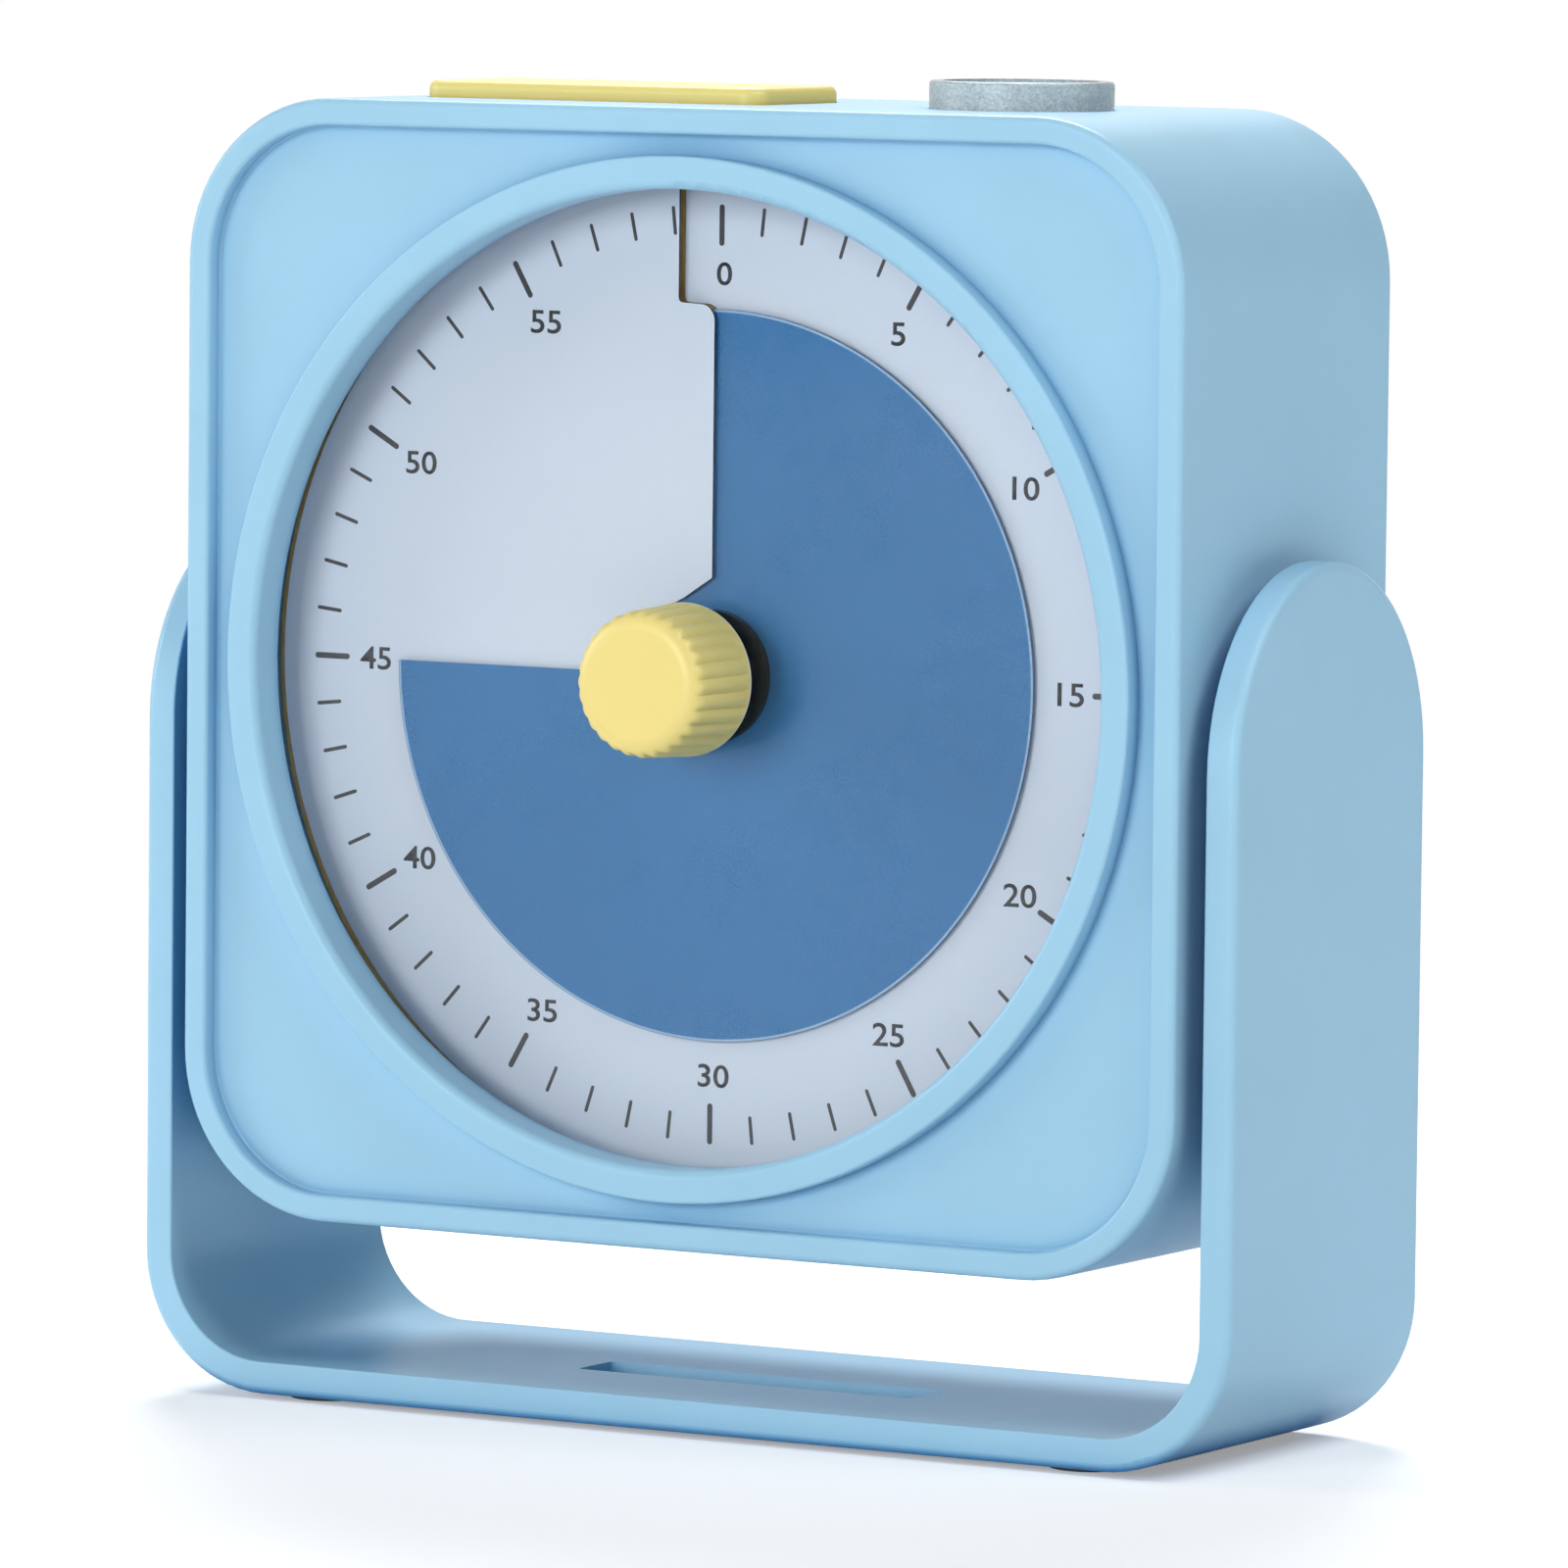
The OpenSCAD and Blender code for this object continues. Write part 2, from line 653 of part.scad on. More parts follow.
module front_case() {
    color(shell_blue) in_case() difference() {
        union() {
            rotate([-90, 0, 0]) around_rect(case_w, case_h, case_corner_r) case_section();
            slab(panel_recess, panel_t) difference() {
                round_rect(case_w - 2 * rim_w - 2, case_h - 2 * rim_w - 2, case_corner_r - rim_w - 1);
                circle(ring_r - 1);
            }
            rotate([-90, 0, 0]) rotate_extrude() ring_section();
            for (x = [-1, 1], z = [-1, 1]) {
                bar_y(x * corner_post_x, z * corner_post_z, panel_back - 1, cover_y - panel_back + 1,
                    corner_post_r);
                bar_y(x * ear_at, z * ear_at, panel_back - 1, backing_y - panel_back + 1, 3.5);
            }
            for (p = board_posts) bar_z(p[0], p[1], top_board_z + board_t,
                inner_h - top_board_z - board_t + 1, post_r);
            for (s = [-1, 1]) bar_x(s > 0 ? pivot_boss_end : -inner_w - 1, mid_d, -pivot_drop,
                pivot_boss_l + 1, pivot_boss_r + 1);
        }
        for (x = [-1, 1], z = [-1, 1]) {
            bar_y(x * corner_post_x, z * corner_post_z, cover_y - case_screw_l - 1, case_screw_l + 2,
                screw_r);
            bar_y(x * ear_at, z * ear_at, backing_y - backing_screw_l - 0.5, backing_screw_l + 1.5, screw_r);
        }
        for (p = board_posts) bar_z(p[0], p[1], top_board_z, board_screw_l + 2, screw_r);
        for (s = [-1, 1]) bar_x(s > 0 ? pivot_boss_end - 1 : -case_w / 2 - 1, mid_d, -pivot_drop,
            pivot_boss_l + case_wall + 2, pivot_r + running);
        translate([button_x, mid_d, inner_h - 1]) linear_extrude(case_wall + 2)
            round_rect(button_l + 2 * sliding, button_w + 2 * sliding, button_corner_r + sliding);
        bar_z(lamp_x, mid_d, inner_h - 1, case_wall + 2, lamp_r + 0.15);
        flange_room();
    }
}

// Room for the flanges of the button and the lamp, where they reach over the chamber
module flange_room() {
    low = button_floor - button_travel - 0.4;
    translate([button_x, mid_d, low]) linear_extrude(inner_h - low)
        square([button_l + 2 * flange_out + 1, button_w + 2 * flange_out + 1], center = true);
    bar_z(lamp_x, mid_d, low, inner_h - low, lamp_r + lamp_flange + 0.5);
}

// ---------- Dial ----------

module dial_lens() {
    color([0.9, 0.95, 1, 0.25]) in_case() ring_y(0, 0, lens_seat, lens_t, lens_r, shaft_r + 1.5);
}

module dial_plate() {
    radii = [dial_hole_r, blue_r - 2.6, blue_r - 1.4, blue_r - 0.6, blue_r, blue_r + 0.5, blue_r + 1,
        blue_r + 1.6, dial_r];
    color(dial_white) in_case() helix_sheet(radii, [for (r = radii) slit_angle(r)], dial_y, 360, 80);
}

module dial_backing() {
    color(board_brown) in_case() difference() {
        union() {
            bar_y(0, 0, backing_y, backing_t, backing_r);
            for (x = [-1, 1], z = [-1, 1]) bar_y(x * ear_at, z * ear_at, backing_y, backing_t, ear_r);
            for (k = [0:7]) let (a = 22.5 + 45 * k, top = dial_depth(a) + sheet_t + 0.02)
                bar_y(dial_post_at * sin(a), dial_post_at * cos(a), top, backing_y - top + 0.5, dial_post_r);
        }
        bar_y(0, 0, backing_y - 1, backing_t + 2, hub_r + 3);
        // Flat top edge under the button's flange
        translate([-backing_r, backing_y - 1, button_floor - button_travel - 0.4])
            cube([2 * backing_r, backing_t + 2, backing_r]);
        for (x = [-1, 1], z = [-1, 1]) bar_y(x * ear_at, z * ear_at, backing_y - 1, backing_t + 2,
            screw_r + sliding);
        for (p = box_posts) bar_y(p[0], -p[1], backing_y - 1, backing_t + 2, screw_r);
        for (p = box_posts) countersink(p[0], -p[1], backing_y);
    }
}

// Cone that a countersunk head fills
module countersink(x, z, y) {
    translate([x, y, z]) rotate([-90, 0, 0]) cylinder(r1 = 2 * screw_r, r2 = screw_r, h = 0.9);
}

module backing_screws() {
    color("silver") in_case() for (x = [-1, 1], z = [-1, 1])
        cap_screw(x * ear_at, z * ear_at, backing_y + backing_t, backing_screw_l, screw_head_t);
}

// Pan-head screw driven towards the front: y is the seat of its head
module cap_screw(x, z, y, l, head_t) {
    reach = screw_head_r * 0.6;
    difference() {
        union() {
            bar_y(x, z, y - l, l, screw_r);
            bar_y(x, z, y, head_t, screw_head_r);
        }
        translate([x - reach, y + head_t * 0.4, z - screw_slot / 2]) cube([2 * reach, head_t, screw_slot]);
        translate([x - screw_slot / 2, y + head_t * 0.4, z - reach]) cube([screw_slot, head_t, 2 * reach]);
    }
}

// ---------- Knob and blue sheet ----------

module knob() {
    body_l = knob_l - 0.8;
    front_r = knob_r - knob_taper;
    flat_r = front_r - knob_edge_r;
    color(butter_yellow) in_case() translate([0, -knob_proud, 0]) rotate([-90, 0, 0]) difference() {
        union() {
            difference() {
                rotate_extrude() difference() {
                    union() {
                        polygon([[0, 0], [flat_r, 0], [flat_r, knob_edge_r], [front_r, knob_edge_r],
                            [knob_r, body_l + 0.4], [0, body_l + 0.4]]);
                        translate([flat_r, knob_edge_r]) circle(knob_edge_r);
                    }
                    translate([-knob_r, -1]) square([knob_r, knob_l]);
                }
                for (k = [0:knob_grooves - 1]) rotate(360 * k / knob_grooves) groove();
            }
            translate([0, 0, body_l]) cylinder(r = knob_r, h = 0.8);
        }
        difference() {
            translate([0, 0, 3]) cylinder(r = knob_r - 2.2, h = knob_l);
            cylinder(r = shaft_r + 2, h = knob_l + 1);
        }
        translate([0, 0, shaft_front + knob_proud]) cylinder(r = shaft_r, h = knob_l);
    }
}

// Shallow round groove that follows the knob's taper
module groove() {
    groove_r = 1.05;
    lean = atan(knob_taper / (knob_l - knob_edge_r));
    translate([knob_r - knob_taper + groove_r - 0.32, 0, knob_edge_r - 0.6]) rotate([0, lean, 0])
        cylinder(r = groove_r, h = knob_l - knob_edge_r - 0.2, $fn = 24);
}

module knob_shaft() {
    color("lightgray") in_case() difference() {
        union() {
            bar_y(0, 0, shaft_front, clip_y + 1.6 - shaft_front, shaft_r);
            bar_y(0, 0, gear_floor + end_play, 1.2, shaft_r + 2);
            bar_y(0, 0, clip_y, box_back - clip_y - 0.2, shaft_r - 1);
        }
        ring_y(0, 0, clip_y, clip_t, shaft_r + 1, shaft_r - 0.7);
    }
}

// Star spring that presses the centre wheel against the shaft's collar
module clutch_spring() {
    color("gold") in_case() slab(clutch_y, leaf_t) difference() {
        union() {
            circle(shaft_r + 2);
            for (k = [0:2]) rotate(120 * k) translate([shaft_r + 1, -leaf_w / 2]) square([leaf_l, leaf_w]);
        }
        circle(shaft_r);
    }
    color("gold") in_case() ring_y(0, 0, clutch_y + leaf_t, clip_y - clutch_y - leaf_t, shaft_r + 1.4,
        shaft_r);
}

module shaft_clip() {
    color("silver") in_case() slab(clip_y, clip_t) difference() {
        circle(shaft_r + 1.8);
        circle(shaft_r - 0.68);
        translate([-(shaft_r - 0.9), 0]) square([2 * (shaft_r - 0.9), shaft_r + 2]);
    }
}

// Blue sheet: drawn at the set angle, where its leading edge is in front of the dial
module blue_disc() {
    first = set_minutes * 6 - 360;
    steps = 80;
    inner = hub_r / cos(180 / steps);
    color(disc_blue) in_case() helix_sheet([inner, (hub_r + blue_r) / 2, blue_r], [first, first, first],
        blue_y, 360, steps);
}

module disc_hub() {
    front = blue_y - sheet_lead * set_minutes / 60 - 0.1;
    back = front + sheet_lead + sheet_t + 0.4;
    color(black_plastic) in_case() difference() {
        union() {
            bar_y(0, 0, front, back - front, hub_r);
            bar_y(0, 0, front - 0.8, 1, hub_r - 1.8);
        }
        bar_y(0, 0, front - 3, back - front + 6, shaft_r + running);
    }
}

// ---------- Movement ----------

// A wheel's bearing bores in the base and in the cover
module bearing_bores() {
    for (a = arbors) bar_y(a[0], a[1], gear_floor - 1.1, box_d, arbor_r + running);
}

module box_outline(grow) {
    translate([(box_l + box_r) / 2, (box_b + box_t) / 2])
        round_rect(box_r - box_l + 2 * grow, box_t - box_b + 2 * grow, 3 + grow);
}

module movement_base() {
    color(movement_white) in_movement() difference() {
        union() {
            slab(movement_y, gear_floor - movement_y) box_outline(0);
            slab(gear_floor - 0.5, box_cover - gear_floor + 0.5) difference() {
                box_outline(0);
                box_outline(-box_wall);
            }
            for (p = box_posts) bar_y(p[0], p[1], gear_floor - 0.5, box_cover - gear_floor + 0.5, box_post_r);
            for (a = arbors) bar_y(a[0], a[1], gear_floor - 0.5, 0.9, 1.8);
            for (p = stator_posts) bar_y(p[0], p[1], gear_floor - 0.5, stator_y - gear_floor + 0.5, 1.6);
        }
        bar_y(0, 0, movement_y - 1, 4, shaft_r + running);
        bearing_bores();
        for (p = box_posts) bar_y(p[0], p[1], movement_y - 1, box_d, screw_r);
    }
}

module movement_cover() {
    color(movement_white) in_movement() difference() {
        union() {
            slab(box_cover, box_wall) box_outline(0);
            for (a = arbors) bar_y(a[0], a[1], box_cover - 0.6, 1, 1.8);
        }
        for (a = arbors) bar_y(a[0], a[1], box_cover - 1, 1.9, arbor_r + running);
        bar_y(0, 0, box_cover - 1, box_wall + 2, shaft_r - 1 + running);
        for (p = box_posts) bar_y(p[0], p[1], box_cover - 1, box_wall + 2, screw_r);
    }
}

// Countersunk screws through the backing into the movement's posts
module movement_screws() {
    color("silver") in_movement() for (p = box_posts) {
        countersink(p[0], p[1], backing_y);
        bar_y(p[0], p[1], backing_y + 0.5, movement_screw_l, screw_r);
    }
}

module cover_screws() {
    color("silver") in_movement() for (p = box_posts)
        cap_screw(p[0], p[1], box_back, movement_screw_l, cover_head_t);
}

// Bobbin and winding on the stator's core
module coil() {
    color("peru") in_movement() difference() {
        union() {
            bar_x(coil_x - coil_l / 2, coil_y, core_z, coil_l, 3.1);
            for (x = [-1, 1]) bar_x(coil_x + x * (coil_l / 2 - 0.6) - 0.6, coil_y, core_z, 1.2,
                coil_flange_r);
        }
        translate([coil_x - coil_l, stator_y, core_z - core_w / 2]) cube([2 * coil_l, stator_t, core_w]);
    }
}

// Soft-iron loop: from the rotor's hole round the shaft and through the coil
module stator() {
    color("dimgray") in_movement() slab(stator_y, stator_t) difference() {
        union() {
            translate([rotor_x - 9, rotor_z - pole_w / 2]) square([box_r - box_wall - rotor_x + 8.7, pole_w]);
            translate([stator_l, rotor_z - leg_w / 2]) square([rotor_x - stator_l, leg_w]);
            translate([stator_l, rotor_z - leg_w / 2])
                square([leg_w + 2, core_z - rotor_z + (leg_w + core_w) / 2]);
            translate([box_r - leg_w - 2.5, rotor_z]) square([leg_w, core_z - rotor_z + core_w / 2]);
            translate([stator_l, core_z - core_w / 2]) square([box_r - 4 - stator_l, core_w]);
        }
        translate([rotor_x, rotor_z]) circle(magnet_r + 0.6);
    }
}

// One arbor with a pivot at each end
module arbor(p) {
    bar_y(p[0], p[1], gear_floor - 0.8, box_cover - gear_floor + 1.5, arbor_r);
}

module centre_wheel() {
    color("gold") in_movement() slab(layer_1, centre_wheel_t) difference() {
        gear_outline(module_1, centre_teeth, wheel_addendum, 1.25, -90);
        circle(shaft_r + running);
        for (k = [0:4]) rotate(72 * k + 36) translate([13, 0]) circle(4);
    }
}

module third_wheel() {
    color("ivory") in_movement() {
        translate([0, 0, third_z]) {
            slab(layer_1 - 0.3, layer_2 - layer_1 + 0.3)
                gear_outline(module_1, pinion_teeth, 1, 0.95, 90 + 180 / pinion_teeth);
            slab(layer_2, 1.2) gear_outline(module_2, wheel_teeth, wheel_addendum, 1.25, 0);
        }
        arbor(arbors[0]);
    }
}

module second_wheel() {
    color("ivory") in_movement() {
        translate([second_x, 0, third_z]) {
            slab(layer_2 - 0.3, layer_3 - layer_2 + 0.3)
                gear_outline(module_2, pinion_teeth, 1, 0.95, 180 + 180 / pinion_teeth);
            slab(layer_3, 1) gear_outline(module_3, wheel_teeth, wheel_addendum, 1.25, rotor_at);
        }
        arbor(arbors[1]);
    }
}

module rotor() {
    color("ivory") in_movement() {
        translate([rotor_x, 0, rotor_z]) slab(layer_3 - 0.3, 1.8)
            gear_outline(module_3, pinion_teeth, 1, 0.95, rotor_at + 180 + 180 / pinion_teeth);
        bar_y(rotor_x, rotor_z, layer_3 + 1.5, stator_y - layer_3 - 1.3, 1.6);
        bar_y(rotor_x, rotor_z, stator_y - 0.6, stator_t + 1.6, magnet_r);
        arbor(arbors[2]);
    }
}

// ---------- Top button and lamp ----------

module top_button() {
    edge = button_edge;
    bottom = button_floor;
    top = case_h / 2 + button_proud;
    color(butter_yellow) in_case() translate([button_x, mid_d, 0]) difference() {
        union() {
            translate([0, 0, bottom]) linear_extrude(top - bottom - edge)
                round_rect(button_l, button_w, button_corner_r);
            translate([0, 0, bottom]) linear_extrude(flange_t)
                round_rect(button_l + 2 * flange_out, button_w + 2 * flange_out,
                    button_corner_r + flange_out);
            translate([0, 0, bottom]) linear_extrude(top - bottom)
                round_rect(button_l - 2 * edge, button_w - 2 * edge, button_corner_r - edge);
            around_rect(button_l, button_w, button_corner_r) translate([-edge, top - edge]) intersection() {
                circle(edge);
                square(edge);
            }
        }
        difference() {
            translate([0, 0, bottom - 1]) linear_extrude(top - bottom - button_shell + 1.2)
                round_rect(button_l - 2 * button_shell, button_w - 2 * button_shell, 1.5);
            translate([0, 0, bottom - 2]) cylinder(r = button_stem_r, h = top - bottom + 2);
            for (x = [-1, 1]) translate([x * button_l / 4, 0, top - 3.5])
                cube([button_rib, button_w, 4], center = true);
        }
    }
    color(butter_yellow) in_case() bar_z(button_x, mid_d, press_z, bottom - press_z + 0.2, button_stem_r);
}

// Plunger of the tact switch
module switch_plunger() {
    color(black_plastic) in_case() bar_z(button_x, mid_d, press_z - tact_h, tact_h, plunger_r);
}

module tact_switch() {
    color("dimgray") in_case() difference() {
        translate([button_x - tact_size / 2, mid_d - tact_size / 2, top_board_z + board_t])
            cube([tact_size, tact_size, tact_h]);
        bar_z(button_x, mid_d, top_board_z + board_t, tact_h + 1, plunger_r + running);
    }
}

module top_board() {
    color(board_green) in_case() difference() {
        translate([-top_board_l / 2, mid_d - top_board_w / 2, top_board_z])
            cube([top_board_l, top_board_w, board_t]);
        for (p = board_posts) bar_z(p[0], p[1], top_board_z - 1, board_t + 2, screw_r + sliding);
    }
}

module top_board_screws() {
    color("silver") in_case() for (p = board_posts) {
        bar_z(p[0], p[1], top_board_z, board_screw_l, screw_r);
        bar_z(p[0], p[1], top_board_z - screw_head_t, screw_head_t, screw_head_r);
    }
}

// Frosted cup with a ledge for its window and a flange under the case's top
module lamp_lens() {
    top = case_h / 2 + lamp_proud;
    under = inner_h - end_play;
    color([0.75, 0.80, 0.80, 0.6]) in_case() translate([lamp_x, mid_d, 0]) rotate_extrude() difference() {
        union() {
            translate([lamp_r - lamp_rim - 1, under - flange_t])
                square([lamp_rim + 1, top - under + flange_t]);
            translate([lamp_r - 1, under - flange_t]) square([1 + lamp_flange, flange_t]);
        }
        translate([0, window_z]) square([lamp_r - lamp_rim, 10]);
        translate([lamp_r, top]) mirror([1, 0]) mirror([0, 1]) corner_waste(0.5);
    }
}

module lamp_window() {
    color([0.85, 0.90, 0.92, 0.5]) in_case() bar_z(lamp_x, mid_d, window_z, 1.4, lamp_r - lamp_rim - 0.1);
}

module lamp_led() {
    color([0.95, 0.95, 0.85]) in_case() translate([lamp_x, mid_d, top_board_z + board_t]) rotate_extrude() {
        square([2.5, 5]);
        square([2.9, 1]);
        translate([0, 5]) intersection() {
            circle(2.5);
            square(3);
        }
    }
}

// ---------- Back ----------

module rear_cover() {
    door_l = well_l + 2 * door_lap;
    door_h = well_h + 2 * door_lap;
    color(shell_blue) in_case() difference() {
        union() {
            slab(cover_y, cover_t) round_rect(2 * (inner_w - sliding), 2 * (inner_h - sliding),
                case_corner_r - case_wall - sliding);
            translate([0, 0, -well_drop]) slab(well_y - well_wall, cover_y - well_y + well_wall + 1)
                round_rect(well_l + 2 * well_wall, well_h + 2 * well_wall, 2);
            ring_y(speaker_x, speaker_z, cover_y - 3, 4, speaker_r + 1.6, speaker_r + 0.1);
            for (p = main_posts) bar_y(p[0], p[1], main_board_y + board_t,
                cover_y - main_board_y - board_t + 1, 2.4);
            ring_y(speaker_x, speaker_z, cover_y - 0.9, 1.9, speaker_r, speaker_r - 2);
        }
        translate([0, 0, -well_drop]) {
            slab(well_y, cover_back - well_y + 1) round_rect(well_l, well_h, 1);
            slab(cover_back - door_t, door_t + 1) round_rect(door_l, door_h, 2.5);
        }
        for (x = [-1, 1], z = [-1, 1]) {
            bar_y(x * corner_post_x, z * corner_post_z, cover_y - 1, cover_t + 2, screw_r + sliding);
            bar_y(x * corner_post_x, z * corner_post_z, cover_back - screw_sink, screw_sink + 1,
                screw_head_r + sliding);
        }
        // Sound holes on three circles round one in the middle
        bar_y(speaker_x, speaker_z, cover_y - 2, cover_t + 4, 1);
        for (k = [1:3], i = [0:6 * k - 1]) let (a = 360 * i / (6 * k))
            bar_y(speaker_x + 4.4 * k * cos(a), speaker_z + 4.4 * k * sin(a), cover_y - 2, cover_t + 4, 1);
        for (p = main_posts) bar_y(p[0], p[1], main_board_y, board_screw_l + 0.5, screw_r);
        translate([switch_x, 0, switch_z]) slab(cover_y - 1, cover_t + 2)
            round_rect(switch_thumb_l + 2 * switch_travel + 4 * sliding, switch_thumb_h + 4 * sliding, 0.5);
        translate([switch_x, 0, switch_z]) slab(cover_back - 0.8, 2)
            round_rect(switch_thumb_l + 2 * switch_travel + 6, switch_thumb_h + 4.4, 1.5);
        // Finger notch beside the door
        bar_y(0, -well_drop + door_h / 2 + 3, cover_back - 1.2, 2, 7);
    }
}

module case_screws() {
    color("silver") in_case() for (x = [-1, 1], z = [-1, 1])
        cap_screw(x * corner_post_x, z * corner_post_z, cover_back - screw_sink, case_screw_l,
            screw_head_t - 0.1);
}

module battery_door() {
    door_l = well_l + 2 * door_lap - 2 * sliding;
    door_h = well_h + 2 * door_lap - 2 * sliding;
    color(shell_blue) in_case() translate([0, 0, -well_drop]) difference() {
        union() {
            slab(cover_back - door_t + 0.02, door_t - 0.02) round_rect(door_l, door_h, 2.5 - sliding);
            for (x = [-1, 1]) translate([x * (well_l / 2 - 8) - 1, cover_back - door_t - 0.5,
                -well_h / 2 + 0.4]) cube([2, 1, well_h - 0.8]);
        }
        for (k = [0:3]) translate([-door_grip_l / 2, cover_back - door_grip_w / 2,
            door_h / 2 - 4 - door_grip_pitch * k])
            cube([door_grip_l, door_grip_w, door_grip_w]);
    }
}

module batteries() {
    color("dimgray") in_case() for (z = [-1, 1]) mirror([z > 0 ? 0 : 1, 0, 0]) {
        bar_x(-battery_l / 2 + 1, battery_y, -well_drop + z * cell_pitch / 2, battery_l - 1.8,
            battery_d / 2 - 0.1);
        bar_x(-battery_l / 2, battery_y, -well_drop + z * cell_pitch / 2, 2, 4.5);
        bar_x(battery_l / 2 - 1, battery_y, -well_drop + z * cell_pitch / 2, 1, 2.7);
    }
}

// Flat plates at the button ends of the cells and under the springs
module battery_contacts() {
    color("silver") in_case() for (z = [-1, 1], x = [-1, 1])
        translate([x * (well_l - contact_t) / 2 - contact_t / 2, battery_y - contact_h / 2,
            -well_drop + z * cell_pitch / 2 - contact_h / 2])
            cube([contact_t, contact_h, contact_h]);
}

// Turns of the contact springs at the flat ends of the cells, and the dimple at the other ends
module battery_springs() {
    gap = well_l / 2 - contact_t - battery_l / 2;
    turns = 4;
    step = (gap - 2 * wire_r) / (turns - 1);
    start = -battery_l / 2 - gap + wire_r;
    color("silver") in_case() for (z = [-1, 1]) mirror([z > 0 ? 0 : 1, 0, 0])
        translate([0, battery_y, -well_drop + z * cell_pitch / 2]) {
            for (k = [0:turns - 1]) translate([start + k * step, 0, 0]) rotate([0, 90, 0])
                rotate_extrude() translate([turn_r - turn_step * k, 0]) circle(wire_r, $fn = 16);
            for (k = [0:turns - 2]) bar_x(start + k * step, 0, turn_r - turn_step * (k + 0.5), step,
                wire_r - 0.05);
            bar_x(battery_l / 2, 0, 0, gap, contact_tip_r);
        }
}

module speaker() {
    color("dimgray") in_case() difference() {
        union() {
            bar_y(speaker_x, speaker_z, cover_y - 0.9 - 3, 3, speaker_r);
            bar_y(speaker_x, speaker_z, cover_y - 0.9 - speaker_d, speaker_d - 2, 9);
            translate([speaker_x, cover_y - 0.9 - 3, speaker_z]) rotate([90, 0, 0])
                cylinder(r1 = speaker_r - 2, r2 = 9, h = 2.4);
        }
        translate([speaker_x, cover_y - 0.9, speaker_z]) rotate([90, 0, 0]) translate([0, 0, -0.01])
            cylinder(r1 = speaker_r - 3, r2 = 6, h = 2.2);
    }
}

module main_board() {
    color(board_green) in_case() difference() {
        translate([main_board_x - main_board_w / 2, main_board_y, main_board_z - main_board_h / 2])
            cube([main_board_w, board_t, main_board_h]);
        for (p = main_posts) bar_y(p[0], p[1], main_board_y - 1, board_t + 2, screw_r + sliding);
    }
}

module board_screws() {
    color("silver") in_case() for (p = main_posts) {
        bar_y(p[0], p[1], main_board_y, board_screw_l, screw_r);
        bar_y(p[0], p[1], main_board_y - screw_head_t, screw_head_t, screw_head_r);
    }
}

module switch_body() {
    color("dimgray") in_case() difference() {
        translate([switch_x - switch_l / 2, main_board_y + board_t, switch_z - switch_h / 2])
            cube([switch_l, cover_y - main_board_y - board_t - 0.2, switch_h]);
        translate([switch_x - switch_thumb_l / 2 - switch_travel - sliding, cover_y - 2.4,
            switch_z - switch_thumb_h / 2 - sliding])
            cube([switch_thumb_l + 2 * switch_travel + 2 * sliding, 4, switch_thumb_h + 2 * sliding]);
    }
}

module slide_switch() {
    color(black_plastic) in_case() {
        translate([switch_x - switch_thumb_l / 2, cover_y - 2.4, switch_z - switch_thumb_h / 2])
            cube([switch_thumb_l, cover_t + 2.4 - 0.5, switch_thumb_h]);
    }
}

stand_bracket();
rubber_feet();
pivot_screws();
pivot_washers();
pivot_springs();
front_case();
rear_cover();
case_screws();
dial_lens();
dial_plate();
dial_backing();
backing_screws();
lamp_lens();
lamp_window();
lamp_led();
top_board();
top_board_screws();
tact_switch();
movement_base();
movement_cover();
movement_screws();
cover_screws();
coil();
stator();
speaker();
main_board();
board_screws();
switch_body();
batteries();
battery_contacts();
battery_springs();
knob();
knob_shaft();
clutch_spring();
shaft_clip();
blue_disc();
disc_hub();
centre_wheel();
third_wheel();
second_wheel();
rotor();
top_button();
switch_plunger();
slide_switch();
battery_door();
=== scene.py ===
"""Looks of a visual countdown timer: finishes, printed dial, sheets, knob, studio and camera.

The frame gives every solid in metres: +X to the right, the dial faces -Y, +Z up.
"""
import math

import bmesh
import bpy
from bpy.props import FloatProperty, FloatVectorProperty, IntProperty, PointerProperty
from mathutils import Matrix, Vector


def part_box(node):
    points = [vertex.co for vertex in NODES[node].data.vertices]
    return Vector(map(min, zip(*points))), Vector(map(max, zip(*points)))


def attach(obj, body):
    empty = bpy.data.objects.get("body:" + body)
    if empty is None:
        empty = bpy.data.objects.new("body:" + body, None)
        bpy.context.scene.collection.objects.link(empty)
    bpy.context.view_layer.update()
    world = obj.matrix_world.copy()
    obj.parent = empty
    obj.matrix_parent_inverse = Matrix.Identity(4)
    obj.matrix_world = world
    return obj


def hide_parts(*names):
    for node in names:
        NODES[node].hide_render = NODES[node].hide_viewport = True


bl_info = {
    "name": "Visual countdown timer",
    "version": (1, 0, 0),
    "blender": (4, 5, 0),
    "location": "View3D > Sidebar > Timer",
    "description": "Dresses the countdown timer's solids and lights them",
    "category": "Object",
}

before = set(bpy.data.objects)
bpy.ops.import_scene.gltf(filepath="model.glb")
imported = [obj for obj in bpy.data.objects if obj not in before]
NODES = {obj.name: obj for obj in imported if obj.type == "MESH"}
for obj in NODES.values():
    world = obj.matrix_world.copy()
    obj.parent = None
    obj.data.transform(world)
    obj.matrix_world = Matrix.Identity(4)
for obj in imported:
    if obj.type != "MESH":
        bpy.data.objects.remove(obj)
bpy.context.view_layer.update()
MM = 0.001
TURN_STEPS = 360  # steps in one turn of both sheets
FLUTE_STEPS = 12  # steps round the knob for each flute
DIGIT_SHIFT = 0.45 * MM  # how far the numbers are printed to the right of their minutes

# Numbers of the outputs that are used on Texture Coordinate and Light Path nodes
GENERATED, OBJECT = 0, 3
CAMERA_RAY, SHADOW_RAY, GLOSSY_RAY, TRANSMISSION_RAY, DIFFUSE_DEPTH = 0, 1, 3, 6, 10

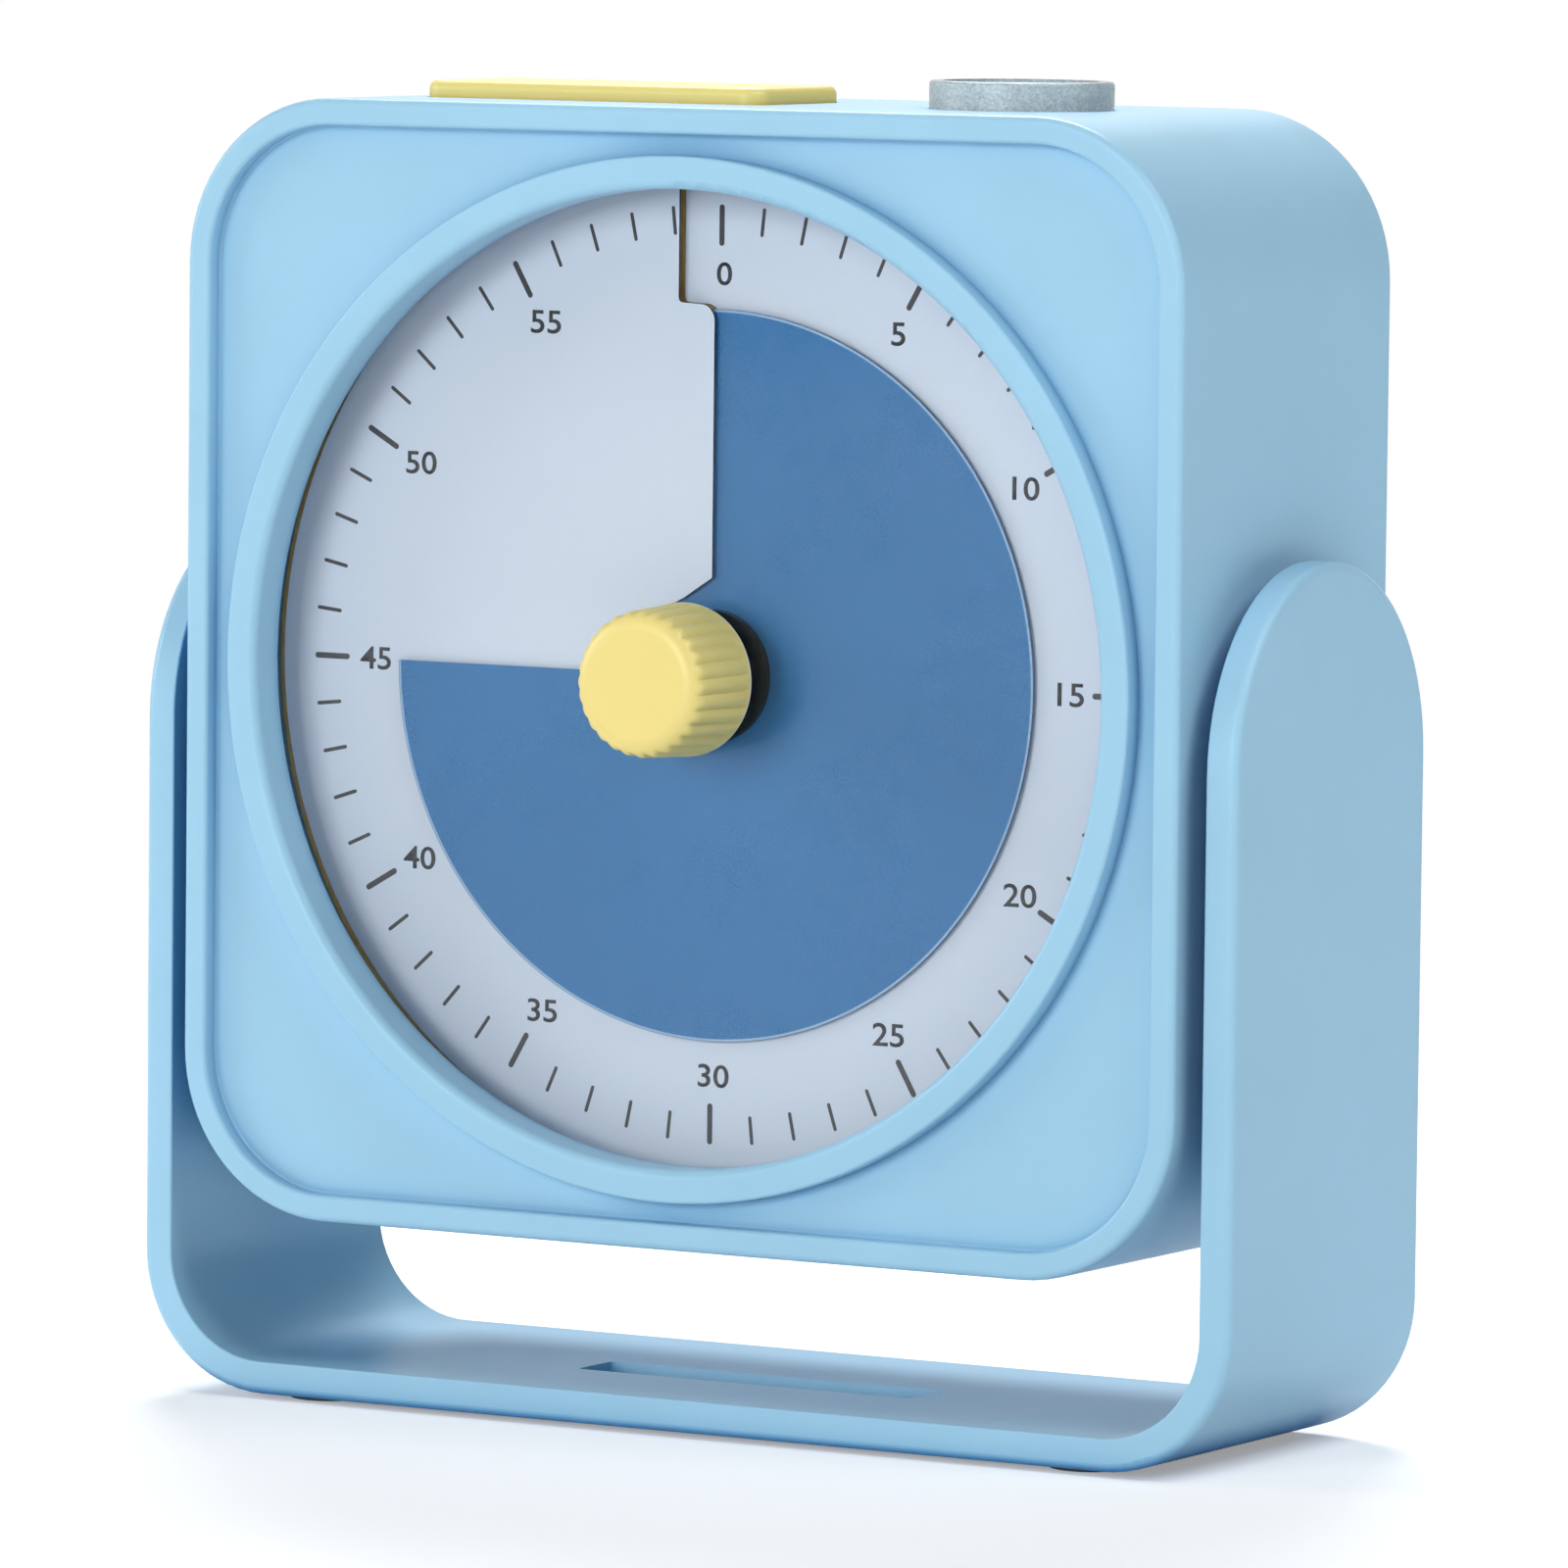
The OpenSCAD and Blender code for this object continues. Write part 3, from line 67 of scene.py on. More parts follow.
# Places that follow from the solids
# The front plane that depths in the case are measured from lies 0.45 mm in front of the ring
FRONT_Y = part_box("front_case")[0].y - 0.45 * MM
DIAL_CENTRE = sum(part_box("dial_lens"), Vector()) / 2
CENTRE_X, CENTRE_Z = DIAL_CENTRE.x, DIAL_CENTRE.z
KNOB_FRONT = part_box("knob")[0].y
KNOB_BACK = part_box("knob")[1].y


# ---------- Settings ----------

def metres(name, description, default):
    return FloatProperty(name=name, description=description, default=default, unit="LENGTH")


def degrees(name, description, default):
    return FloatProperty(name=name, description=description, default=math.radians(default), subtype="ANGLE")


def watts(name, description, default):
    return FloatProperty(name=name, description=description, default=default, subtype="POWER")


def base_colour(name, description, default):
    return FloatVectorProperty(name=name, description=description, default=default, size=3, subtype="COLOR")


class DialSettings(bpy.types.PropertyGroup):
    """Sizes of the two sheets and of what is printed on the white one."""

    sheet: metres("Sheet thickness", "Thickness of both sheets", 0.4 * MM)
    lead: metres("Lead", "Height that a sheet climbs in one turn", 1.7 * MM)
    depth: metres("Dial depth", "Depth of the white sheet behind the front plane at the zero line", 13.9 * MM)
    hole: metres("Hole radius", "Radius of the white sheet's hole", 11 * MM)
    outer: metres("Dial radius", "Outer radius of the white sheet", 66.4 * MM)
    blue: metres("Blue radius", "Radius of the blue sheet", 47.9 * MM)
    hub: metres("Hub radius", "Radius of the blue sheet's hub", 8.75 * MM)
    slit: metres("Slit offset", "How far the slit's outer part lies left of the zero line", 5.5 * MM)
    minutes: FloatProperty(name="Minutes", description="Minutes that the blue sheet shows", default=45)
    mark_outer: metres("Mark radius", "Outer radius of the minute marks", 61.53 * MM)
    minor_length: metres("Minor length", "Length of a minute mark", 3.78 * MM)
    major_length: metres("Major length", "Length of a five-minute mark", 5.4 * MM)
    minor_width: metres("Minor width", "Width of a minute mark", 0.5 * MM)
    major_width: metres("Major width", "Width of a five-minute mark", 0.78 * MM)
    digit_radius: metres("Number radius", "Radius of the numbers' middles", 52.5 * MM)
    digit_height: metres("Number height", "Height of the numbers", 3.05 * MM)
    ink: metres("Ink thickness", "How far the print stands on the sheet", 0.02 * MM)


class KnobSettings(bpy.types.PropertyGroup):
    """Sizes of the knob."""

    back_radius: metres("Back radius", "Radius at the knob's back edge", 10.05 * MM)
    front_radius: metres("Front radius", "Radius where the front edge's rounding starts", 9.6 * MM)
    face_radius: metres("Face radius", "Radius of the flat front face", 7.1 * MM)
    rounding: metres("Rounding", "Depth of the front edge's rounding", 2.3 * MM)
    ribs: IntProperty(name="Flutes", description="Number of flutes", default=28)
    rib_depth: metres("Flute depth", "Depth of a flute", 0.46 * MM)


class ColourSettings(bpy.types.PropertyGroup):
    """Base colours, in linear light."""

    shell: base_colour("Shell", "Case and stand", (0.36, 0.62, 0.80))
    yellow: base_colour("Yellow", "Knob and button", (0.86, 0.71, 0.235))
    dial: base_colour("Dial", "White sheet", (0.555, 0.64, 0.745))
    blue: base_colour("Blue", "Blue sheet", (0.02, 0.152, 0.365))
    ink: base_colour("Ink", "Marks and numbers", (0.02, 0.025, 0.032))


class StudioSettings(bpy.types.PropertyGroup):
    """Camera and lamps."""

    camera: FloatVectorProperty(name="Camera", description="Place of the camera", size=3, precision=5,
                                subtype="TRANSLATION", default=(0.76580, -1.30365, 0.21191))
    yaw: degrees("Yaw", "Turn of the view to the left of +Y", 30.329)
    pitch: degrees("Pitch", "Tilt of the view below the horizon", 4.828)
    roll: degrees("Roll", "Roll of the camera", 0.604)
    focal: FloatProperty(name="Focal length", description="For a 36 mm wide sensor, in mm", default=264.61)
    key: watts("Key light", "Power of the large light in front, on the left", 37)
    front: watts("Front light", "Power of the weak light in front, on the right", 4.5)
    left: watts("Left light", "Power of the light on the left", 11)
    side: watts("Side light", "Power of the light on the right", 17)
    back: watts("Back light", "Power of the light above and behind, on the left", 20)
    fill: FloatProperty(name="World", description="Strength of the light from all round", default=0.03)


# ---------- Node trees ----------

class Socket:
    """A node's output that takes part in arithmetic; each operator adds a Math node."""

    def __init__(self, graph, raw):
        self.graph = graph
        self.raw = raw

    def math(self, operation, *others):
        inputs = {i: value for i, value in enumerate((self, *others))}
        return self.graph.node("ShaderNodeMath", {"operation": operation}, inputs)

    def __add__(self, other):
        return self.math("ADD", other)

    def __sub__(self, other):
        return self.math("SUBTRACT", other)

    def __mul__(self, other):
        return self.math("MULTIPLY", other)

    def __truediv__(self, other):
        return self.math("DIVIDE", other)

    def __rsub__(self, other):
        return self.graph.number("SUBTRACT", other, self)

    def __lt__(self, other):
        return self.math("LESS_THAN", other)

    def __gt__(self, other):
        return self.math("GREATER_THAN", other)

    __radd__ = __add__
    __rmul__ = __mul__


class Graph:
    """Builds the nodes of one shader or geometry tree."""

    def __init__(self, tree):
        self.tree = tree

    def node(self, kind, settings=None, inputs=None, output=0):
        """Adds a node: its settings first, then the values or links of its sockets. Returns one output."""
        made = self.tree.nodes.new(kind)
        for name, value in (settings or {}).items():
            setattr(made, name, value)
        for name, value in (inputs or {}).items():
            if isinstance(value, Socket):
                self.tree.links.new(value.raw, made.inputs[name])
            else:
                made.inputs[name].default_value = value
        if not made.outputs:
            return made
        return Socket(self, made.outputs[output])

    def number(self, operation, *values):
        return self.node("ShaderNodeMath", {"operation": operation}, dict(enumerate(values)))

    def smooth(self, value, low, high, start=0.0, end=1.0):
        """Smooth step of a value from low to high."""
        return self.node("ShaderNodeMapRange", {"interpolation_type": "SMOOTHSTEP"},
                         {"Value": value, "From Min": low, "From Max": high, "To Min": start, "To Max": end})

    def mix(self, factor, first, second):
        """Colour mix of two colours or links."""
        made = self.tree.nodes.new("ShaderNodeMix")
        made.data_type = "RGBA"
        for socket, value in ((made.inputs[0], factor), (made.inputs[6], first), (made.inputs[7], second)):
            if isinstance(value, Socket):
                self.tree.links.new(value.raw, socket)
            elif socket == made.inputs[0]:
                socket.default_value = value
            else:
                socket.default_value = (*value[:3], 1)
        return Socket(self, made.outputs[2])

    def split(self, vector):
        made = self.tree.nodes.new("ShaderNodeSeparateXYZ")
        self.tree.links.new(vector.raw, made.inputs[0])
        return [Socket(self, out) for out in made.outputs]

    def ray(self, output):
        """One of the outputs of a Light Path node."""
        return self.node("ShaderNodeLightPath", output=output)

    def noise(self, where, size, detail=2.0, roughness=0.5):
        """Noise whose blobs are about size metres across."""
        inputs = {"Vector": where, "Scale": 1 / size, "Detail": detail, "Roughness": roughness}
        return self.node("ShaderNodeTexNoise", None, inputs)


def new_material(name):
    """Empty material, with its graph and its Object coordinates."""
    material = bpy.data.materials.new(name)
    material.use_nodes = True
    material.node_tree.nodes.clear()
    graph = Graph(material.node_tree)
    where = graph.node("ShaderNodeTexCoord", output=OBJECT)
    return material, graph, where


def scaled(colour, factor):
    """Colour times a factor."""
    return [c * factor for c in colour]


def uneven(roughness, slow, fine):
    """Roughness that varies about its mean with a slow and a fine noise."""
    return slow * 0.08 + fine * 0.04 + (roughness - 0.06)


def show(graph, shader):
    """Links a shader to the material's output."""
    graph.node("ShaderNodeOutputMaterial", None, {"Surface": shader})


def bump(graph, height, distance, strength=1.0):
    return graph.node("ShaderNodeBump", None, {"Height": height, "Distance": distance, "Strength": strength})


def plastic(name, colour, roughness=0.4, grain=0.25 * MM, grain_height=0.004 * MM, mottle=0.03, coat=0.0,
            painted_shade=None, reach=3 * MM, rim=None, sheen=(1, 1, 1)):
    """Moulded plastic: fine spark texture, slow changes of gloss and a trace of mottle.

    Painted shade is a deeper tone painted into the base colour where other surfaces stand round within reach,
    standing for the shade in creases and gaps. Rim is the depth of a back edge that carries a painted
    highlight, a pale line. Sheen is the tint of head-on reflections."""
    material, graph, where = new_material(name)
    slow = graph.noise(where, 18 * MM, 3)
    fine = graph.noise(where, grain, 1)
    tone = graph.mix(slow, scaled(colour, 1 - mottle), scaled(colour, 1 + mottle))
    # Painted shade: where ambient occlusion finds other surfaces close round, the base colour turns to the
    # deeper tone, standing for the shade in creases and gaps
    if painted_shade:
        openness = graph.node("ShaderNodeAmbientOcclusion", {"samples": 4}, {"Distance": reach}, output=1)
        tone = graph.mix(graph.smooth(openness, 0.15, 0.85), painted_shade, tone)
    # Painted highlight: a pale line painted into the base colour along the back edge, where light catches
    # that edge
    if rim is not None:
        pale_highlight = (0.93, 0.87, 0.66)
        _, depth, _ = graph.split(where)
        tone = graph.mix(graph.smooth(depth, rim - 0.5 * MM, rim - 0.35 * MM), tone, pale_highlight)
    shader = graph.node("ShaderNodeBsdfPrincipled", None, {
        "Base Color": tone, "Roughness": uneven(roughness, slow, fine), "IOR": 1.5, "Coat Weight": coat,
        "Coat Roughness": 0.12, "Specular Tint": (*sheen, 1), "Normal": bump(graph, fine, grain_height)})
    show(graph, shader)
    return material


def printed_film(name, colour, rim):
    """Printed film with a painted highlight, a paler band just inside its rim, and a dark line at the rim
    itself.
    """
    material, graph, where = new_material(name)
    x, _, z = graph.split(where)
    x, z = x - CENTRE_X, z - CENTRE_Z
    radius = (x * x + z * z).math("SQRT")
    fine = graph.noise(where, 0.2 * MM, 1)
    slow = graph.noise(where, 18 * MM, 3)
    tone = graph.mix(slow, scaled(colour, 0.97), scaled(colour, 1.03))
    # Painted highlight: the paler band stands for the light caught by the sheet's glossy edge
    painted_highlight_tone, edge_tone = (0.34, 0.5, 0.68), (0.05, 0.12, 0.25)
    painted_highlight = graph.smooth(radius, rim - 0.42 * MM, rim - 0.3 * MM)
    edge = graph.smooth(radius, rim - 0.08 * MM, rim - 0.04 * MM)
    tone = graph.mix(painted_highlight * 0.8, tone, painted_highlight_tone)
    tone = graph.mix(edge, tone, edge_tone)
    shader = graph.node("ShaderNodeBsdfPrincipled", None, {
        "Base Color": tone, "Roughness": uneven(0.28, slow, fine), "IOR": 1.5,
        "Normal": bump(graph, fine, 0.0003 * MM)})
    show(graph, shader)
    return material


def metal(name, colour, roughness=0.3):
    """Drawn or stamped metal with a fine grain."""
    material, graph, where = new_material(name)
    fine = graph.noise(where, 0.4 * MM, 3, 0.6)
    slow = graph.noise(where, 5 * MM, 2)
    tone = graph.mix(slow, scaled(colour, 0.9), colour)
    shader = graph.node("ShaderNodeBsdfPrincipled", None, {
        "Base Color": tone, "Metallic": 1.0, "Roughness": fine * 0.25 + (roughness - 0.12),
        "Normal": bump(graph, fine, 0.01 * MM, 0.5)})
    show(graph, shader)
    return material


def clear_plastic(name, tint, roughness=0.0, grain_height=0.0, weight=1.0, ior=1.49, cloud=0.0):
    """Glassy plastic that lets lamps and bounced light straight through, so what is behind it is lit once."""
    material, graph, where = new_material(name)
    inputs = {"Base Color": (*tint, 1), "Transmission Weight": weight, "IOR": ior, "Roughness": roughness}
    if grain_height:
        grain = graph.noise(where, 0.6 * MM, 3, 0.7)
        inputs["Normal"] = bump(graph, grain, grain_height)
    if cloud:
        speck = graph.smooth(graph.noise(where, 0.45 * MM, 3, 0.8), 0.35, 0.65)
        inputs["Base Color"] = graph.mix(speck, scaled(tint, 1 - cloud), scaled(tint, 1 + cloud))
    body = graph.node("ShaderNodeBsdfPrincipled", None, inputs)
    passing = graph.node("ShaderNodeBsdfTransparent", None, {"Color": (*tint, 1)})
    bounced = graph.ray(DIFFUSE_DEPTH) > 0.5
    through = graph.ray(SHADOW_RAY).math("MAXIMUM", bounced)
    show(graph, graph.node("ShaderNodeMixShader", None, {0: through, 1: body, 2: passing}))
    return material


def fibreboard(name, colour):
    """Pressed board with short fibres."""
    material, graph, where = new_material(name)
    stretched = graph.node("ShaderNodeMapping", None, {"Vector": where, "Scale": (1, 1, 0.25)})
    fibres = graph.noise(stretched, 0.5 * MM, 4, 0.7)
    tone = graph.mix(fibres, scaled(colour, 0.6), scaled(colour, 1.25))
    shader = graph.node("ShaderNodeBsdfPrincipled", None, {
        "Base Color": tone, "Roughness": 0.8, "Normal": bump(graph, fibres, 0.05 * MM)})
    show(graph, shader)
    return material


def circuit_board(name, colour):
    """Solder mask with tracks that show as faint ridges."""
    material, graph, where = new_material(name)
    tracks = graph.node("ShaderNodeTexVoronoi", {"feature": "DISTANCE_TO_EDGE", "distance": "MANHATTAN"},
                        {"Vector": where, "Scale": 1 / (3 * MM), "Randomness": 0.35})
    edge = graph.smooth(tracks, 0.04, 0.1)
    tone = graph.mix(edge, scaled(colour, 1.5), colour)
    shader = graph.node("ShaderNodeBsdfPrincipled", None, {
        "Base Color": tone, "Roughness": 0.3, "Coat Weight": 0.4,
        "Normal": bump(graph, edge, 0.02 * MM, 0.6)})
    show(graph, shader)
    return material


def winding(name, colour):
    """Fine wire wound round a bobbin that lies along X."""
    material, graph, where = new_material(name)
    turns = graph.node("ShaderNodeTexWave", {"bands_direction": "X"},
                       {"Vector": where, "Scale": 1 / (0.9 * MM), "Distortion": 0.4}, output=1)
    tone = graph.mix(turns, scaled(colour, 0.55), colour)
    shader = graph.node("ShaderNodeBsdfPrincipled", None, {
        "Base Color": tone, "Metallic": 0.8, "Roughness": 0.35, "Normal": bump(graph, turns, 0.08 * MM)})
    show(graph, shader)
    return material


# ---------- Meshes ----------

def object_of(mesh, name, smooth_angle=None):
    """Object of a mesh, shaded smooth but for edges sharper than an angle in degrees."""
    made = bpy.data.objects.new(name, mesh)
    bpy.context.scene.collection.objects.link(made)
    if smooth_angle is not None:
        mesh.shade_smooth()
        mesh.set_sharp_from_angle(angle=math.radians(smooth_angle))
    return made


def face_front(mesh):
    """Turns a drawing with X right, Y up and Z towards the viewer to face -Y, on the dial's axis."""
    place = Matrix.Translation((CENTRE_X, FRONT_Y, CENTRE_Z)) @ Matrix.Rotation(math.radians(90), 4, "X")
    mesh.transform(place)


def dial_angle(x, y, slit):
    """Turn clockwise from the zero line, with the slit as the place where a turn ends."""
    turn = math.atan2(x, y)
    return turn + 2 * math.pi if turn < 0 and (x < -slit or y < 0) else turn


def dial_height(turn, dial):
    """Height of the white sheet's face over the front plane, negative behind it."""
    return dial.lead * turn / (2 * math.pi) - dial.depth


def finish_geometry(tree, geometry, material):
    """Ends a geometry tree with Realize Instances, Set Material and the output."""
    graph = Graph(tree)
    real = graph.node("GeometryNodeRealizeInstances", None, {0: geometry})
    dressed = graph.node("GeometryNodeSetMaterial", None, {"Geometry": real, "Material": material})
    graph.node("NodeGroupOutput", None, {0: dressed})


def geometry_tree(name, inputs):
    """Geometry tree with named number inputs and one geometry output, its graph and its inputs."""
    tree = bpy.data.node_groups.new(name, "GeometryNodeTree")
    tree.interface.new_socket("Geometry", in_out="INPUT", socket_type="NodeSocketGeometry")
    tree.interface.new_socket("Geometry", in_out="OUTPUT", socket_type="NodeSocketGeometry")
    for label, kind in inputs.items():
        tree.interface.new_socket(label, in_out="INPUT", socket_type=kind)
    graph = Graph(tree)
    source = tree.nodes.new("NodeGroupInput")
    return tree, graph, {out.name: Socket(graph, out) for out in source.outputs if out.name}


def grown(tree, name, values, base=None):
    """Plain mesh that a geometry tree makes with these input values."""
    host = bpy.data.objects.new(name, base or bpy.data.meshes.new(name))
    bpy.context.scene.collection.objects.link(host)
    modifier = host.modifiers.new(name, "NODES")
    modifier.node_group = tree
    for item in tree.interface.items_tree:
        if item.in_out == "INPUT" and item.name in values:
            modifier[item.identifier] = values[item.name]
    evaluated = host.evaluated_get(bpy.context.evaluated_depsgraph_get())
    mesh = bpy.data.meshes.new_from_object(evaluated)
    mesh.name = name
    old = host.data
    bpy.data.objects.remove(host)
    bpy.data.meshes.remove(old)
    return mesh


def lathe(profile, steps, name):
    """Closed turned shape about Z from a profile of (radius, height), with both ends on the axis."""
    built = bmesh.new()
    rings = []
    for radius, height in profile:
        if radius < 1e-9:
            rings.append([built.verts.new((0, 0, height))])
        else:
            rings.append([built.verts.new((radius * math.cos(a), radius * math.sin(a), height))
                          for a in (2 * math.pi * k / steps for k in range(steps))])
    for low, high in zip(rings, rings[1:]):
        for k in range(steps):
            n = (k + 1) % steps
            corners = [low[k % len(low)], low[n % len(low)], high[n % len(high)], high[k % len(high)]]
            built.faces.new(list(dict.fromkeys(corners)))
    bmesh.ops.recalc_face_normals(built, faces=built.faces)
    mesh = bpy.data.meshes.new(name)
    built.to_mesh(mesh)
    built.free()
    return mesh


# ---------- Pieces ----------

class TIMER_OT_shells(bpy.types.Operator):
    """Finishes the case, the stand, the back cover and the battery door"""

    bl_idname = "timer.shells"
    bl_label = "Case and stand"

    def execute(self, context):
        colours = context.scene.timer_colours
        # The case, stand and button get shade painted into their creases and gaps as a deeper tone of their
        # colour
        satin = {"roughness": 0.37, "mottle": 0.04, "painted_shade": (0.05, 0.24, 0.5), "sheen": (0.35, 0.7, 1.0)}
        case = plastic("satin_shell", colours.shell, **satin)
        for name in ("front_case", "rear_cover", "battery_door"):
            dress(name, case)
        dress("stand_bracket", plastic("satin_stand", colours.shell, reach=8 * MM, **satin))
        dress("top_button", plastic("satin_yellow", colours.yellow, roughness=0.4, painted_shade=(0.6, 0.42, 0.08)))
        return {"FINISHED"}


class TIMER_OT_clear_parts(bpy.types.Operator):
    """Finishes the lens, the alarm lamp and the feet"""

    bl_idname = "timer.clear_parts"
    bl_label = "Lens, lamp and feet"

    def execute(self, context):
        dress("dial_lens", clear_plastic("lens_clear", (1.0, 1.0, 1.0), ior=1.3))
        dress("lamp_lens", clear_plastic(
            "lamp_frosted", (0.66, 0.725, 0.745), roughness=0.22, grain_height=0.12 * MM, weight=0.6,
            cloud=0.22))
        dress("lamp_window", clear_plastic(
            "window_clear", (0.84, 0.9, 0.92), roughness=0.25, grain_height=0.03 * MM, weight=0.5))
        dress("lamp_led", clear_plastic("led_epoxy", (0.95, 0.95, 0.85), roughness=0.05))
        dress("rubber_feet", plastic(
            "foot_rubber", (0.10, 0.11, 0.12), roughness=0.75, grain=0.4 * MM, grain_height=0.02 * MM))
        return {"FINISHED"}


class TIMER_OT_inner_parts(bpy.types.Operator):
    """Finishes what the closed case hides"""

    bl_idname = "timer.inner_parts"
    bl_label = "Inner parts"

    def execute(self, context):
        steel = metal("zinc_plate", (0.62, 0.63, 0.65))
        brass = metal("brass_sheet", (0.75, 0.52, 0.22), 0.28)
        nylon = plastic("natural_nylon", (0.78, 0.76, 0.68), roughness=0.5)
        cream = plastic("movement_cream", (0.74, 0.74, 0.68), roughness=0.5)
        black = plastic("gloss_black", (0.012, 0.012, 0.014), roughness=0.22)
        matt_black = plastic("matt_black", (0.02, 0.02, 0.022), roughness=0.7, grain=0.6 * MM,
                             grain_height=0.03 * MM)
        green = circuit_board("solder_mask", (0.02, 0.12, 0.05))
        finishes = {
            steel: ("pivot_screws", "pivot_springs", "case_screws", "backing_screws", "top_board_screws",
                    "movement_screws", "cover_screws", "board_screws", "battery_contacts", "battery_springs",
                    "knob_shaft", "shaft_clip"),
            brass: ("clutch_spring", "centre_wheel"),
            nylon: ("pivot_washers", "third_wheel", "second_wheel", "rotor"),
            cream: ("movement_base", "movement_cover"),
            black: ("disc_hub", "tact_switch", "switch_plunger", "switch_body", "slide_switch"),
            matt_black: ("speaker",),
            green: ("top_board", "main_board"),
            metal("soft_iron", (0.28, 0.28, 0.29), 0.45): ("stator",),
            winding("copper_wire", (0.72, 0.30, 0.14)): ("coil",),
            # The board is brown, but its brown is made far lighter than a board's own tone: painted light,
            # standing for the light that hardly reaches it behind the ring
            fibreboard("brown_board", (0.95, 0.6, 0.17)): ("dial_backing",),
            plastic("cell_wrap", (0.05, 0.06, 0.08), roughness=0.3, coat=0.5): ("batteries",),
        }
        for material, names in finishes.items():
            for name in names:
                dress(name, material)
        return {"FINISHED"}


def dress(name, material):
    """Gives a node of the frame one material."""
    mesh = NODES[name].data
    mesh.materials.clear()
    mesh.materials.append(material)


class TIMER_OT_dial_sheet(bpy.types.Operator):
    """Builds the white sheet: one turn of a helix with a stepped slit"""

    bl_idname = "timer.dial_sheet"
    bl_label = "Dial sheet"

    def execute(self, context):
        dial = context.scene.timer_dial
        material = plastic("dial_white", context.scene.timer_colours.dial, roughness=0.5, grain=0.15 * MM,
                           grain_height=0.001 * MM, mottle=0.008)
        mesh = slit_sheet(dial)
        mesh.materials.append(material)
        # The slit's cut faces are painted dark navy, standing for the shade they lie in: painted shade
        mesh.materials.append(plastic("cut_edge", (0.03, 0.06, 0.12), roughness=0.6, grain=0.1 * MM))
        face_front(mesh)
        piece = object_of(mesh, "dial_sheet", 30)
        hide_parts("dial_plate")
        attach(piece, "case")
        return {"FINISHED"}


def slit_outline(dial):
    """Points (radius, distance left of the zero line) of the slit's edge from the hole to the rim."""
    shoulder = 2.2 * MM
    foot = 0.7 * MM
    slant_length, slant_width = 1.9 * MM, 4.3 * MM
    step_r = dial.blue + 1.0 * MM
    shoulder_end = step_r - 0.3 * MM
    corner_r = step_r - shoulder - 0.3 * MM
    points = [(dial.hole, slant_width), (dial.hole + slant_length, 0.0), (corner_r, 0.0)]
    points += [(corner_r + shoulder * math.sin(t), shoulder - shoulder * math.cos(t))
               for t in (math.radians(a) for a in range(10, 90, 10))]
    points.append((shoulder_end, shoulder))
    points.append((step_r, dial.slit - foot))
    points += [(step_r + foot * (1 - math.cos(t)), dial.slit - foot + foot * math.sin(t))
               for t in (math.radians(a) for a in (30, 60, 90))]
    points.append((dial.outer, dial.slit))
    return points


def slit_sheet(dial, steps=TURN_STEPS):
    """Closed helical sheet in the drawing's frame, from the slit once round and back to it."""
    outline = slit_outline(dial)
    radii, lefts = [outline[0][0]], [outline[0][1]]
    for (r0, l0), (r1, l1) in zip(outline, outline[1:]):
        parts = max(1, round((r1 - r0) / (4 * MM)))
        for k in range(1, parts + 1):
            radii.append(r0 + (r1 - r0) * k / parts)
            lefts.append(l0 + (l1 - l0) * k / parts)
    starts = [-math.asin(left / r) for r, left in zip(radii, lefts)]
    built = bmesh.new()
    layers = []
    for back in (0.0, dial.sheet):
        rows = []
        for j in range(steps + 1):
            row = []
            for r, start in zip(radii, starts):
                turn = start + 2 * math.pi * j / steps
                height = dial_height(turn, dial) - back
                row.append(built.verts.new((r * math.sin(turn), r * math.cos(turn), height)))
            rows.append(row)
        layers.append(rows)
    front, rear = layers
    count = len(radii)
    for j in range(steps):
        for i in range(count - 1):
            built.faces.new((front[j][i], front[j][i + 1], front[j + 1][i + 1], front[j + 1][i]))
            built.faces.new((rear[j][i], rear[j + 1][i], rear[j + 1][i + 1], rear[j][i + 1]))
        for i in (0, count - 1):
            built.faces.new((front[j][i], front[j + 1][i], rear[j + 1][i], rear[j][i]))
    # The cut faces at the slit take the second material, which is painted shade
    for j in (0, steps):
        for i in range(count - 1):
            edge = built.faces.new((front[j][i], rear[j][i], rear[j][i + 1], front[j][i + 1]))
            edge.material_index = 1
    bmesh.ops.recalc_face_normals(built, faces=built.faces)
    mesh = bpy.data.meshes.new("dial_sheet")
    built.to_mesh(mesh)
    built.free()
    return mesh


class TIMER_OT_time_sheet(bpy.types.Operator):
    """Builds the blue sheet, a helix that follows a rule"""

    bl_idname = "timer.time_sheet"
    bl_label = "Time sheet"

    def execute(self, context):
        dial = context.scene.timer_dial
        material = printed_film("sheet_blue", context.scene.timer_colours.blue, dial.blue)
        tree = helicoid_tree(material)
        first = dial.minutes * math.pi / 30 - 2 * math.pi
        mesh = grown(tree, "time_sheet", {
            "Inner radius": dial.hub, "Outer radius": dial.blue, "First angle": first, "Lead": dial.lead,
            "Depth": dial.depth - dial.lead / 2, "Thickness": dial.sheet})
        close_sheet(mesh)
        face_front(mesh)
        piece = object_of(mesh, "time_sheet", 30)
        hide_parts("blue_disc")
        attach(piece, "time_disc")
        return {"FINISHED"}


